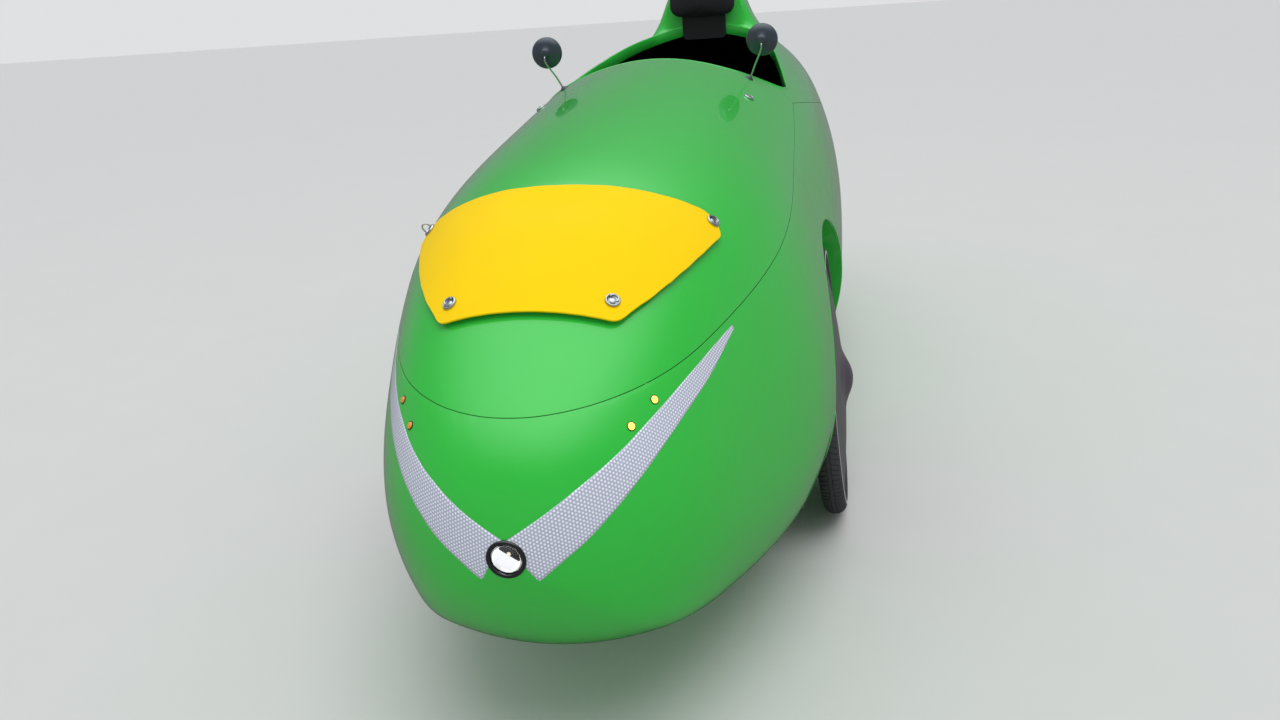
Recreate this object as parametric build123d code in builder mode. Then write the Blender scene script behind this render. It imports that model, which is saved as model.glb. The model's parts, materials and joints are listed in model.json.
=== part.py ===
from build123d import *
from math import atan2, cos, degrees, hypot, pi, radians, sin, sqrt, tan
import os

# Three-wheeled velomobile with a hollow moulded body.
# Millimetres. Front faces -Y, the rider's left is +X, +Z is up, the floor is Z = 0.
# Stations are measured rearwards from the front of the headlamp.

os.makedirs("parts", exist_ok=True)

# Overall sizes
LENGTH = 2850.0
WALL = 5.0
SEAM_GAP = 0.6

SIDES = ((1, "left"), (-1, "right"))

# Fit between pieces that do not move
FIT = 0.3

# Cutting shapes, all larger than the body
CUTTER_FLOOR = 400.0
CUTTER_HEIGHT = 700.0
CUTTER_HALF = 500.0
CUTTER_LENGTH = 2000.0
BELT_ROOM = (-100.0, 1200.0)

# Body sections, one row each:
# station, half width, top height, bottom height, height of the widest line
SECTIONS = [
    (4.0, 27.0, 407.0, 353.0, 380.0),
    (26.0, 85.0, 476.0, 306.0, 384.0),
    (90.0, 158.0, 542.0, 222.0, 373.0),
    (260.0, 239.0, 661.0, 145.0, 337.0),
    (520.0, 318.0, 734.0, 105.0, 312.0),
    (850.0, 341.0, 774.0, 105.0, 322.0),
    (1250.0, 346.0, 807.0, 108.0, 400.0),
    (1700.0, 340.0, 828.0, 112.0, 430.0),
    (2130.0, 298.0, 812.0, 130.0, 440.0),
    (2450.0, 215.0, 740.0, 185.0, 450.0),
    (2700.0, 115.0, 640.0, 285.0, 460.0),
    (2844.0, 24.0, 522.0, 438.0, 480.0),
]
SHOULDER_ROUNDING = 0.79
BILGE_ROUNDING = 0.37
SIDE_TURN = 24.0
NOSE_ZONE = 300.0

# Belt line between the lower hull and the upper panels: station and height
BELT_NOSE = (-60.0, 501.0)
BELT_WHEEL = (462.0, 569.0)
BELT_COCKPIT = (1206.0, 697.0)
BELT_TAIL = (2900.0, 505.0)

# Cockpit opening, seen from above: half width, station and rounding of its corners
COCKPIT_REAR = 1972.0
COCKPIT = [(262.0, 1128.0, 150.0), (200.0, 1640.0, 400.0), (124.0, COCKPIT_REAR, 80.0)]

# Coaming flange turned down round the opening
COAMING_THICK = 5.0
COAMING_PROUD = 1.5
COAMING_DEPTH = 24.0

# Headrest fairing behind the cockpit: station, top height, top radius, foot half width, foot height
HUMP = [
    (1974.0, 945.0, 104.0, 205.0, 752.0),
    (2080.0, 958.0, 106.0, 205.0, 748.0),
    (2300.0, 905.0, 84.0, 172.0, 708.0),
    (2560.0, 775.0, 52.0, 108.0, 625.0),
    (2760.0, 628.0, 24.0, 48.0, 525.0),
]
HUMP_TURN = 72.0

# Wheels
HUB_SPREAD = 315.0
CAMBER = 4.5
FRONT_AXLE = 904.0
WHEELBASE = 1230.0
FRONT_TYRE_RADIUS = 243.0
REAR_TYRE_RADIUS = 319.5
TYRE_WIDTH = 40.0
RIM_DEPTH = 15.0
TYRE_SEAT = 5.0
DRUM_RADIUS = 45.0
DRUM_INSET = 26.0
DRUM_WIDTH = 36.0
HUB_FLANGE = 22.0
HUB_NECK = 14.0
SPOKES = 20
SPOKE_RADIUS = 1.3
SPOKE_SEAT = 3.0
SPOKE_LINES = (4.0, -12.0)
REAR_SPOKES = 24
REAR_HUB_RADIUS = 28.0
REAR_HUB_HALF = 58.0
REAR_SPOKE_LINES = (-10.0, 10.0)

# Rim profile: side offset and depth below the rim's top
RIM_PROFILE = [(-14.0, 0.0), (-11.5, 0.0), (-11.5, 4.0), (-6.0, 7.0), (6.0, 7.0), (11.5, 4.0), (11.5, 0.0),
               (14.0, 0.0), (14.0, 8.0), (7.0, 15.0), (-7.0, 15.0), (-14.0, 8.0)]

# Disc cover: thickness
COVER_THICK = 1.8

# Disc cover profile: side offset from the tyre's middle and radius
COVER_PROFILE = [(15.9, 203.0), (26.0, 120.0), (33.0, 40.0), (43.0, 27.0), (47.0, 10.0)]
AXLE_RADIUS = 6.0
AXLE_CLEARANCE = 0.05

# Stub of the knuckle, seen from the hub's middle: radius, start and end of the carrier, brake plate and axle
STUB = [(16.0, -63.0, -34.0), (43.0, -35.0, -32.0), (AXLE_RADIUS, -58.0, 24.0)]

# Pillar of the knuckle along the kingpin line: radius, start and end of pivot, neck and damper
PILLAR = [(AXLE_RADIUS, -14.0, 20.0), (9.0, 12.0, 90.0), (14.0, 72.0, 240.0)]

# Wheel arches and boxes; the hole for the tie rod as station, height and radius
ARCH_RADIUS = 285.0
ARCH_REACH = 300.0
ROD_HOLE = (984.0, 175.0, 24.0)
BOX_INNER = 205.0
BOX_WALL = 3.0
REAR_BOX_RADIUS = 375.0
REAR_BOX_HALF = 88.0

# Kingpin axis of the left wheel: half track and height of its two ends
KINGPIN_LOW = (282.0, 140.0)
KINGPIN_HIGH = (222.0, 512.0)
STEER_ARM = 75.0
LINK_PIN = 3.0
LINK_SLACK = 3.2
ARM_SPREAD = 95.0
ARM_RADIUS = 6.0
ARM_EYE_RADIUS = 12.5
ARM_PAD = (34.0, 24.0, 14.0)
ARM_OFFSET = 25.0
EYE_RADIUS = 10.0
EYE_HEIGHT = 8.0
ROD_RADIUS = 4.0
ROD_HEIGHTS = {"left": 164.0, "right": 180.0}
STRUT_RINGS = 7
STRUT_RADIUS = 20.0
STRUT_SEAT = 22.0
STRUT_START = 196.0
STRUT_TAPER = 18.0
STRUT_MOUNT_RADIUS = 15.5
STRUT_PITCH = 18.0

# Cranks and boom
CRANK_STATION = 400.0
CRANK_HEIGHT = 400.0
CRANK_LENGTH = 155.0
CRANK_WIDTH = 26.0
CRANK_THICK = 12.0
CRANK_SPREAD = 52.0
SPINDLE_RADIUS = 8.0
SPINDLE_HALF = 62.0
CHAINRING_RADIUS = 92.0
CHAINRING_BAND = 14.0
CHAINRING_ARM = 18.0
CHAINRING_LINE = 44.0
PEDAL_PIN = 7.0
PEDAL_START = 72.0
PEDAL = (60.0, 18.0, 80.0)
BOOM_FOOT = 760.0
BOOM_RADIUS = 19.0
BOOM_PLATE = 90.0
SHELL_RADIUS = 21.0
SHELL_HALF = 34.0

# Rear swing arm
SWING_PIVOT = (1805.0, 190.0)
SWING_HALF = 62.0
SWING_WIDTH = 34.0
SWING_THICK = 10.0
SWING_TUBE = 13.0

# Steering tiller
TILLER_STATION = 960.0
COLUMN_RADIUS = 12.0
COLUMN_FOOT = 3.0
COLUMN_HEIGHT = 100.0
BEARING_RADIUS = 26.0
DROP_ARM_HEIGHT = 150.0
DROP_ARM_THICK = 10.0
DROP_PIN_TOP = 193.0
STICK_RADIUS = 11.0
GRIP_RADIUS = 16.0
GRIP_LENGTH = 76.0
GRIP_END = 5.0
HANDLE = (1275.0, 560.0)
HANDLE_HALF = 115.0

# Hatch plate over the foot opening of the bonnet: half width and station of its corners
HATCH_LIFT = 6.0
HATCH_THICK = 3.0
HATCH_FRONT = (108.0, 166.0)
HATCH_REAR = (204.0, 414.0)
HATCH_REAR_MIDDLE = 350.0
HATCH_CORNER = 24.0
HATCH_REAR_CORNER = 14.0
HATCH_OPENING = [(-80.0, 205.0), (80.0, 205.0), (150.0, 345.0), (-150.0, 345.0)]

# Headlamp and tail lamp
LAMP_HEIGHT = 380.0
LAMP_RADIUS = 22.0
LAMP_WALL = 3.0
LAMP_BARREL = 32.0
TAIL_LAMP_RADIUS = 18.0
TAIL_LAMP_DEPTH = 6.0

# Indicator lamps: half spacing, station and height of each
INDICATORS = [(143.0, 129.0, 507.0), (123.0, 93.0, 491.0)]
INDICATOR_RADIUS = 5.0

# Mirrors: base and head as half spacing, station and height
MIRROR_BASE = (184.0, 1112.0, 766.0)
MIRROR_HEAD = (204.0, 1128.0, 822.0)
MIRROR_RADIUS = 29.0
MIRROR_DEPTH = 22.0
MIRROR_RIM = 3.0
MIRROR_FOOT = 8.0
MIRROR_STALK = 2.2

# Quarter-turn studs: half spacing, station and height
HATCH_STUDS = [(180.0, 384.0, 640.0), (92.0, 186.0, 598.0)]
BONNET_STUD = (195.0, 985.0, 745.0)
STUD_RADIUS = 9.0
STUD_HEIGHT = 3.0
SPACER_RADIUS = 8.0

# Headrest
HEADREST_WIDTH = 170.0
HEADREST_HEIGHT = 96.0
HEADREST_DEPTH = 38.0
HEADREST_CENTRE = 895.0
HEADREST_ROUNDING = 28.0
HEADREST_EDGE = 12.0
BRACKET_WIDTH = 112.0
BRACKET_HEIGHT = 120.0
BRACKET_CENTRE = 850.0
BRACKET_THICK = 5.5
BRACKET_GAP = 6.0

# Seat, as station and height of its bends
SEAT_SPINE = [(1240.0, 222.0), (1455.0, 140.0), (1520.0, 160.0), (1800.0, 560.0), (1862.0, 655.0)]
SEAT_BEND = 40.0
SEAT_SHELL = 5.0
SEAT_PAD = 25.0
SEAT_HALF_WIDTH = 155.0
SEAT_PAD_HALF = 147.0
SEAT_MOUNT = (180.0, 60.0)
SEAT_MOUNT_SET = 30.0
SEAT_MOUNT_FOOT = 60.0


def row(station):
    return station - LENGTH / 2


def quarter(width, height, rounding):
    """Three tangent arcs from (width, 0) to (0, height): their joints and middles."""
    turn = radians(SIDE_TURN)
    corner = rounding * min(width, height)
    a, b = 1 - cos(turn), sin(turn)
    rest_x = width - corner * (cos(turn) - sin(turn))
    rest_y = height - corner * (cos(turn) - sin(turn))
    # side * a + crown * b = rest_x and side * b + crown * a = rest_y
    det = a * a - b * b
    side = (rest_x * a - rest_y * b) / det
    crown = (rest_y * a - rest_x * b) / det
    points = [(width, 0.0)]
    x, y = width, 0.0
    turned = pi / 2 - turn
    for radius, start, end in ((side, 0, turn), (corner, turn, turned), (crown, turned, pi / 2)):
        middle = (start + end) / 2
        for angle in (middle, end):
            points.append((x - radius * (cos(start) - cos(angle)), y + radius * (sin(angle) - sin(start))))
        x, y = points[-1]
    return points


def body_section(half, top, bottom, waist):
    """Closed ring of ten arcs as (start, middle, end) triples."""
    upper = quarter(half, top - waist, SHOULDER_ROUNDING)
    lower = quarter(half, waist - bottom, BILGE_ROUNDING)
    up = [(x, waist + z) for x, z in upper]
    down = [(x, waist - z) for x, z in lower]
    arcs = [(up[0], up[1], up[2]), (up[2], up[3], up[4])]
    arcs.append((up[4], (0.0, top), (-up[4][0], up[4][1])))
    arcs += [((-c[0], c[1]), (-b[0], b[1]), (-a[0], a[1])) for a, b, c in reversed(arcs[:2])]
    low = [(down[0], down[1], down[2]), (down[2], down[3], down[4])]
    ring = [((-a[0], a[1]), (-b[0], b[1]), (-c[0], c[1])) for a, b, c in low]
    ring.append(((-down[4][0], down[4][1]), (0.0, bottom), down[4]))
    ring += [(c, b, a) for a, b, c in reversed(low)]
    return arcs + ring


def body_loft(inset):
    """Solid of the whole body, each section drawn in by the inset."""
    with BuildPart() as body:
        for station, half, top, bottom, waist in SECTIONS:
            shift = inset * max(0.0, 1 - station / NOSE_ZONE)
            if station == SECTIONS[-1][0]:
                shift = -inset
            with BuildSketch(Plane.XZ.offset(-row(station + shift))):
                with BuildLine():
                    for start, middle, end in body_section(half - inset, top - inset, bottom + inset, waist):
                        ThreePointArc(start, middle, end)
                make_face()
        loft()
    return body.part


def hump_loft(inset):
    """Solid of the headrest fairing, each section drawn in by the inset."""
    with BuildPart() as hump:
        for index, (station, top, radius, foot, base) in enumerate(HUMP):
            shift = inset if index == 0 else (-inset if index == len(HUMP) - 1 else 0.0)
            centre = top - radius
            small = radius - inset
            turn = radians(HUMP_TURN)
            side = (small * sin(turn), centre + small * cos(turn))
            foot_x = foot - inset
            chord = (foot_x - side[0], base - side[1])
            span = hypot(*chord)
            lean = atan2(chord[1], chord[0])
            bend = lean + turn
            sag = span / 2 * tan(bend / 2)
            middle = (side[0] + chord[0] / 2 - sag * sin(-lean), side[1] + chord[1] / 2 - sag * cos(lean))
            with BuildSketch(Plane.XZ.offset(-row(station + shift))):
                with BuildLine():
                    ThreePointArc((-side[0], side[1]), (0, top - inset), side)
                    ThreePointArc(side, middle, (foot_x, base))
                    Line((foot_x, base), (-foot_x, base))
                    ThreePointArc((-foot_x, base), (-middle[0], middle[1]), (-side[0], side[1]))
                make_face()
        loft()
    return hump.part


def publish(name, piece):
    piece.part.label = name
    export_step(piece.part, f"parts/{name}.step")


skin = body_loft(0.0)
cavity = body_loft(WALL)
hump_skin = hump_loft(0.0)
hump_cavity = hump_loft(WALL)
ARCH_CENTRE = (row(FRONT_AXLE), FRONT_TYRE_RADIUS)
REAR_CENTRE = (row(FRONT_AXLE + WHEELBASE), REAR_TYRE_RADIUS)
LAMP_AXIS = Axis((0, 0, LAMP_HEIGHT), (0, 1, 0))


def skin_plane(x, station, height, shape=skin):
    """Plane on a shape's skin at its nearest point, facing outwards."""
    target = Vertex(x, row(station), height)
    face = min(shape.faces(), key=lambda f: f.distance_to(target))
    point = face.closest_points(target)[0]
    return Plane(point, z_dir=face.normal_at(point))


def lamp_planes(side):
    return [skin_plane(side * x, station, z) for x, station, z in INDICATORS]


def floor_top(station):
    """Height of the cavity's floor on the centre line."""
    line = Line((0, row(station), 0), (0, row(station), CUTTER_FLOOR))
    return min(v.Z for v in (line.edge() & cavity).vertices())


# Half spaces that part the panels
with BuildPart() as above_belt:
    with BuildSketch(Plane.YZ):
        with BuildLine():
            belt = [(row(s), z) for s, z in (BELT_NOSE, BELT_WHEEL, BELT_COCKPIT, BELT_TAIL)]
            ThreePointArc(*belt[:3])
            Line(belt[2], belt[3])
            Polyline(belt[3], (belt[3][0], BELT_ROOM[1]), (belt[0][0], BELT_ROOM[1]), belt[0])
        make_face()
    extrude(amount=CUTTER_HALF, both=True)

with BuildPart() as below_belt:
    with BuildSketch(Plane.YZ.move(Location((0, 0, -SEAM_GAP)))):
        with BuildLine():
            ThreePointArc(*belt[:3])
            Line(belt[2], belt[3])
            Polyline(belt[3], (belt[3][0], BELT_ROOM[0]), (belt[0][0], BELT_ROOM[0]), belt[0])
        make_face()
    extrude(amount=CUTTER_HALF, both=True)


def cockpit_plan(inset):
    """Face of the cockpit opening seen from above, drawn in by the inset."""
    with BuildSketch() as plan:
        with BuildLine():
            left = [(x, row(station)) for x, station, rounding in COCKPIT]
            right = [(-x, y) for x, y in reversed(left)]
            Polyline(*left, *right, close=True)
        make_face()
        for x, station, rounding in COCKPIT:
            fillet(vertices().filter_by_position(Axis.Y, row(station) - FIT, row(station) + FIT), rounding)
        if inset > 0:
            offset(amount=-inset, mode=Mode.REPLACE)
    return plan.sketch


with BuildPart() as cockpit_hole:
    with BuildSketch(Plane.XY.offset(CUTTER_FLOOR)):
        add(cockpit_plan(0))
    extrude(amount=CUTTER_HEIGHT)

with BuildPart() as lamp_hole:
    with BuildSketch(Plane.XZ.offset(-row(-LAMP_BARREL))):
        with Locations((0, LAMP_HEIGHT)):
            Circle(LAMP_RADIUS - LAMP_WALL)
    extrude(amount=-3 * LAMP_BARREL)

with BuildPart() as arches:
    for side, word in SIDES:
        with BuildSketch(Plane.YZ.offset(side * (BOX_INNER - BOX_WALL - FIT))):
            with Locations(ARCH_CENTRE):
                Circle(ARCH_RADIUS)
        extrude(amount=side * ARCH_REACH)

with BuildPart() as rear_slot:
    with BuildSketch(Plane.YZ.offset(-REAR_BOX_HALF)):
        with Locations(REAR_CENTRE):
            Circle(REAR_BOX_RADIUS)
    extrude(amount=2 * REAR_BOX_HALF)

# Lower hull with its wheel arches, rear wheel slot and lamp hole
with BuildPart() as hull:
    add(skin)
    add(cavity, mode=Mode.SUBTRACT)
    add(below_belt.part, mode=Mode.INTERSECT)
    add(arches.part, mode=Mode.SUBTRACT)
    add(rear_slot.part, mode=Mode.SUBTRACT)
    add(lamp_hole.part, mode=Mode.SUBTRACT)
    for side, word in SIDES:
        for plane in lamp_planes(side):
            with BuildSketch(plane.offset(-3 * WALL)):
                Circle(INDICATOR_RADIUS)
            extrude(amount=6 * WALL, mode=Mode.SUBTRACT)
publish("hull", hull)

# Bonnet: the upper nose, from the headlamp to the cockpit's front corners
with BuildPart() as ahead_of_cockpit:
    with BuildSketch(Plane.XY.offset(CUTTER_FLOOR)):
        with Locations((0, row(BELT_COCKPIT[0] - CUTTER_LENGTH / 2))):
            Rectangle(2 * CUTTER_HALF, CUTTER_LENGTH)
    extrude(amount=CUTTER_HEIGHT)

with BuildPart() as behind_cockpit:
    with BuildSketch(Plane.XY.offset(CUTTER_FLOOR)):
        with Locations((0, row(BELT_COCKPIT[0] + SEAM_GAP + CUTTER_LENGTH / 2))):
            Rectangle(2 * CUTTER_HALF, CUTTER_LENGTH)
    extrude(amount=CUTTER_HEIGHT)

with BuildPart() as hatch_hole:
    with BuildSketch(Plane.XY.offset(CUTTER_FLOOR)):
        with BuildLine():
            Polyline(*[(x, row(station)) for x, station in HATCH_OPENING], close=True)
        make_face()
        fillet(vertices(), HATCH_CORNER)
    extrude(amount=CUTTER_HEIGHT)

with BuildPart() as bonnet:
    add(skin)
    add(cavity, mode=Mode.SUBTRACT)
    add(above_belt.part, mode=Mode.INTERSECT)
    add(ahead_of_cockpit.part, mode=Mode.INTERSECT)
    add(cockpit_hole.part, mode=Mode.SUBTRACT)
    add(hatch_hole.part, mode=Mode.SUBTRACT)
publish("bonnet", bonnet)

# Rear deck with the cockpit sides and the headrest fairing
with BuildPart() as rear_deck:
    add(skin)
    add(hump_skin)
    add(cavity, mode=Mode.SUBTRACT)
    add(hump_cavity, mode=Mode.SUBTRACT)
    add(above_belt.part, mode=Mode.INTERSECT)
    add(behind_cockpit.part, mode=Mode.INTERSECT)
    add(cockpit_hole.part, mode=Mode.SUBTRACT)
publish("rear_deck", rear_deck)

# Hatch plate floating over the bonnet on four quarter-turn studs
plate_over = body_loft(-HATCH_LIFT - HATCH_THICK)
plate_under = body_loft(-HATCH_LIFT)
with BuildPart() as hatch_outline:
    with BuildSketch(Plane.XY.offset(CUTTER_FLOOR)):
        with BuildLine():
            front, rear = [(x, row(station)) for x, station in (HATCH_FRONT, HATCH_REAR)]
            Polyline((-rear[0], rear[1]), (-front[0], front[1]), front, rear)
            ThreePointArc(rear, (0, row(HATCH_REAR_MIDDLE)), (-rear[0], rear[1]))
        make_face()
        fillet(vertices().group_by(Axis.Y)[0], HATCH_CORNER)
        fillet(vertices().group_by(Axis.Y)[-1], HATCH_REAR_CORNER)
    extrude(amount=CUTTER_HEIGHT)

with BuildPart() as hatch_plate:
    add(plate_over)
    add(plate_under, mode=Mode.SUBTRACT)
    add(hatch_outline.part, mode=Mode.INTERSECT)
publish("hatch_plate", hatch_plate)

# Wheel boxes: a drum round each front wheel, open to the floor and to the outside
for side, word in SIDES:
    with BuildPart() as wheel_box:
        with BuildSketch(Plane.YZ.offset(side * (BOX_INNER - BOX_WALL))):
            with Locations(ARCH_CENTRE):
                Circle(ARCH_RADIUS - FIT)
        extrude(amount=side * ARCH_REACH)
        with BuildSketch(Plane.YZ.offset(side * BOX_INNER)):
            with Locations(ARCH_CENTRE):
                Circle(ARCH_RADIUS - FIT - BOX_WALL)
        extrude(amount=side * ARCH_REACH, mode=Mode.SUBTRACT)
        add(skin, mode=Mode.INTERSECT)
        with BuildSketch(Plane.YZ.offset(side * (BOX_INNER - 2 * BOX_WALL))):
            with Locations((row(ROD_HOLE[0]), ROD_HOLE[1])):
                Circle(ROD_HOLE[2])
        extrude(amount=side * 4 * BOX_WALL, mode=Mode.SUBTRACT)
    publish(f"wheel_box_{word}", wheel_box)

with BuildPart() as rear_box:
    with BuildSketch(Plane.YZ.offset(-REAR_BOX_HALF + FIT)):
        with Locations(REAR_CENTRE):
            Circle(REAR_BOX_RADIUS - FIT)
    extrude(amount=2 * (REAR_BOX_HALF - FIT))
    with BuildSketch(Plane.YZ.offset(-REAR_BOX_HALF + FIT + BOX_WALL)):
        with Locations(REAR_CENTRE):
            Circle(REAR_BOX_RADIUS - FIT - BOX_WALL)
    extrude(amount=2 * (REAR_BOX_HALF - FIT - BOX_WALL), mode=Mode.SUBTRACT)
    add(skin, mode=Mode.INTERSECT)
publish("rear_wheel_box", rear_box)

# Headlamp: black bezel, reflector cup and clear lens, turned from points as station and radius
lamp_bore = LAMP_RADIUS - LAMP_WALL - 2.5
lens_radius = lamp_bore - FIT
BEZEL = [(0.0, lamp_bore + 0.5), (0.0, LAMP_RADIUS - 2), (1.5, LAMP_RADIUS), (3.7, LAMP_RADIUS),
         (3.7, lamp_bore + 2), (LAMP_BARREL, lamp_bore + 2), (LAMP_BARREL, lamp_bore),
         (4.0, lamp_bore), (4.0, lamp_bore + 0.5)]
CUP_FRONT = [(7.0, lens_radius - 0.6), (21.0, lens_radius - 5.7), (27.0, 4.0)]
CUP_BACK = [(30.0, 4.0), (23.0, lens_radius - 3.6), (9.0, lens_radius)]
LENS = [(1.0, 0.0), (2.0, lens_radius), (4.0, lens_radius), (3.0, 0.0)]


def lamp_points(profile):
    return [(row(station), LAMP_HEIGHT + radius) for station, radius in profile]


with BuildPart() as headlamp_bezel:
    with BuildSketch(Plane.YZ):
        with BuildLine():
            Polyline(*lamp_points(BEZEL), close=True)
        make_face()
    revolve(axis=LAMP_AXIS)
publish("headlamp_bezel", headlamp_bezel)

with BuildPart() as headlamp_reflector:
    with BuildSketch(Plane.YZ):
        with BuildLine():
            front = lamp_points(CUP_FRONT)
            back = lamp_points(CUP_BACK)
            ThreePointArc(*front)
            Line(front[2], back[0])
            ThreePointArc(*back)
            Polyline(back[2], (front[0][0], back[2][1]), front[0])
        make_face()
    revolve(axis=LAMP_AXIS)
publish("headlamp_reflector", headlamp_reflector)

with BuildPart() as headlamp_lens:
    with BuildSketch(Plane.YZ):
        with BuildLine():
            Polyline(*lamp_points(LENS), close=True)
        make_face()
    revolve(axis=LAMP_AXIS)
publish("headlamp_lens", headlamp_lens)

with BuildPart() as tail_lamp:
    with BuildSketch(Plane.XZ.offset(-row(LENGTH - TAIL_LAMP_DEPTH + FIT))):
        with Locations((0, SECTIONS[-1][4])):
            Circle(TAIL_LAMP_RADIUS)
    extrude(amount=-(TAIL_LAMP_DEPTH - FIT))
    fillet(edges().group_by(Axis.Y)[-1], 2)
publish("tail_lamp", tail_lamp)

# Indicator lamps seated in holes of the hull
for side, word in SIDES:
    with BuildPart() as indicator:
        for plane in lamp_planes(side):
            with BuildSketch(plane.offset(-WALL)):
                Circle(INDICATOR_RADIUS - FIT)
            extrude(amount=WALL + INDICATOR_RADIUS / 2)
    publish(f"indicator_{word}", indicator)

# Mirrors on thin stalks beside the cockpit's front rim
for side, word in SIDES:
    base = skin_plane(side * MIRROR_BASE[0], MIRROR_BASE[1], MIRROR_BASE[2]).offset(FIT)
    head = Vector(side * MIRROR_HEAD[0], row(MIRROR_HEAD[1]), MIRROR_HEAD[2])
    neck = head + Vector(0, -0.6 * MIRROR_RADIUS, -MIRROR_FOOT)
    start = base.offset(MIRROR_STALK).origin
    with BuildPart() as mirror:
        with BuildSketch(base):
            Circle(MIRROR_FOOT)
        extrude(amount=MIRROR_FOOT / 2)
        with BuildSketch(Plane(start, z_dir=neck - start)):
            Circle(MIRROR_STALK)
        extrude(amount=(neck - start).length)
        with BuildSketch(Plane(head, x_dir=(0, 1, 0), z_dir=(side, 0, 0))):
            with BuildLine():
                rim = (0, MIRROR_RADIUS)
                pole = (-MIRROR_DEPTH, 0)
                ThreePointArc(rim, (-0.7 * MIRROR_DEPTH, 0.74 * MIRROR_RADIUS), pole)
                Polyline(pole, (0, 0), rim)
            make_face()
        revolve(axis=Axis(head, (0, 1, 0)))
    publish(f"mirror_{word}", mirror)
    with BuildPart() as mirror_glass:
        with BuildSketch(Plane(head, z_dir=(0, 1, 0)).offset(FIT)):
            Circle(MIRROR_RADIUS - MIRROR_RIM)
        extrude(amount=MIRROR_STALK)
    publish(f"mirror_glass_{word}", mirror_glass)

# Coaming: a flange turned down round the cockpit opening
coaming_skin = body_loft(-COAMING_PROUD)
with BuildPart() as cockpit_coaming:
    with BuildSketch(Plane.XY.offset(CUTTER_FLOOR)):
        add(cockpit_plan(FIT))
        add(cockpit_plan(FIT + COAMING_THICK), mode=Mode.SUBTRACT)
    extrude(amount=CUTTER_HEIGHT)
    add(coaming_skin, mode=Mode.INTERSECT)
    add(Location((0, 0, -COAMING_DEPTH)) * coaming_skin, mode=Mode.SUBTRACT)
publish("cockpit_coaming", cockpit_coaming)

# Hatch and bonnet fasteners
with BuildPart() as hatch_spacers:
    for x, station, z in HATCH_STUDS:
        for side, word in SIDES:
            with BuildSketch(skin_plane(side * x, station, z).offset(FIT)):
                Circle(SPACER_RADIUS)
            extrude(amount=HATCH_LIFT - 2 * FIT)
publish("hatch_spacers", hatch_spacers)

with BuildPart() as hatch_fasteners:
    for x, station, z in HATCH_STUDS:
        for side, word in SIDES:
            with BuildSketch(skin_plane(side * x, station, z + HATCH_LIFT, plate_over).offset(FIT)):
                Circle(STUD_RADIUS)
            extrude(amount=STUD_HEIGHT)
publish("hatch_fasteners", hatch_fasteners)

with BuildPart() as bonnet_fasteners:
    for side, word in SIDES:
        with BuildSketch(skin_plane(side * BONNET_STUD[0], BONNET_STUD[1], BONNET_STUD[2]).offset(FIT)):
            Circle(STUD_RADIUS)
        extrude(amount=STUD_HEIGHT)
publish("bonnet_fasteners", bonnet_fasteners)

# Headrest on its bracket at the rear rim
headrest_back = row(COCKPIT_REAR - COAMING_THICK - BRACKET_GAP)
with BuildPart() as headrest_bracket:
    with BuildSketch(Plane.XZ.offset(-headrest_back)):
        with Locations((0, BRACKET_CENTRE)):
            RectangleRounded(BRACKET_WIDTH, BRACKET_HEIGHT, HEADREST_EDGE)
    extrude(amount=-BRACKET_THICK)
publish("headrest_bracket", headrest_bracket)

with BuildPart() as headrest_pad:
    with BuildSketch(Plane.XZ.offset(FIT - headrest_back)):
        with Locations((0, HEADREST_CENTRE)):
            RectangleRounded(HEADREST_WIDTH, HEADREST_HEIGHT, HEADREST_ROUNDING)
    extrude(amount=HEADREST_DEPTH)
    fillet(edges().group_by(Axis.Y)[0], HEADREST_EDGE)
publish("headrest_pad", headrest_pad)

floor_room = body_loft(WALL + FIT)


def seat_band(inner, outer, half):
    """Band over the seat's spine, between two depths."""
    with BuildPart() as band:
        with BuildSketch(Plane.YZ):
            with BuildLine() as spine:
                FilletPolyline(*[(row(s), z) for s, z in SEAT_SPINE], radius=SEAT_BEND)
            trace(spine.line, 2 * outer)
            if inner > 0:
                trace(spine.line, 2 * inner, mode=Mode.SUBTRACT)
            with BuildLine():
                add(spine.line)
                front = spine.line @ 0
                rear = spine.line @ 1
                Polyline(rear, (rear.X, BELT_ROOM[1]), (front.X, BELT_ROOM[1]), front)
            make_face(mode=Mode.INTERSECT)
        extrude(amount=half, both=True)
    return band


# Seat: a bent shell with a foam pad, on a floor mount
seat_shell = seat_band(0, SEAT_SHELL, SEAT_HALF_WIDTH)
publish("seat_shell", seat_shell)
seat_pad = seat_band(SEAT_SHELL + FIT, SEAT_SHELL + FIT + SEAT_PAD, SEAT_PAD_HALF)
publish("seat_pad", seat_pad)

with BuildPart() as seat_mount:
    with BuildSketch(Plane.XY.offset(SEAT_MOUNT_FOOT)):
        with Locations((0, row(SEAT_SPINE[1][0] + SEAT_MOUNT_SET))):
            Rectangle(*SEAT_MOUNT)
    extrude(until=Until.NEXT, target=seat_shell.part)
    add(floor_room, mode=Mode.INTERSECT)
publish("seat_mount", seat_mount)

# Front wheels: tyre, rim, spoked hub and disc cover, turned round a line leaned by the camber
AXLE_HEIGHT = TYRE_WIDTH / 2 + (FRONT_TYRE_RADIUS - TYRE_WIDTH / 2) * cos(radians(CAMBER))
rim_top = FRONT_TYRE_RADIUS - TYRE_WIDTH + TYRE_SEAT - FIT


def hub_planes(side):
    """Section plane along the axle line and disc plane across it, both at the hub's middle."""
    hub = (side * HUB_SPREAD, row(FRONT_AXLE), AXLE_HEIGHT)
    lean = radians(side * CAMBER)
    line = (cos(lean), 0, sin(lean))
    section = Plane(hub, x_dir=line, z_dir=(-sin(lean), 0, cos(lean)))
    return section, Plane(hub, x_dir=(0, 1, 0), z_dir=line)


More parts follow.
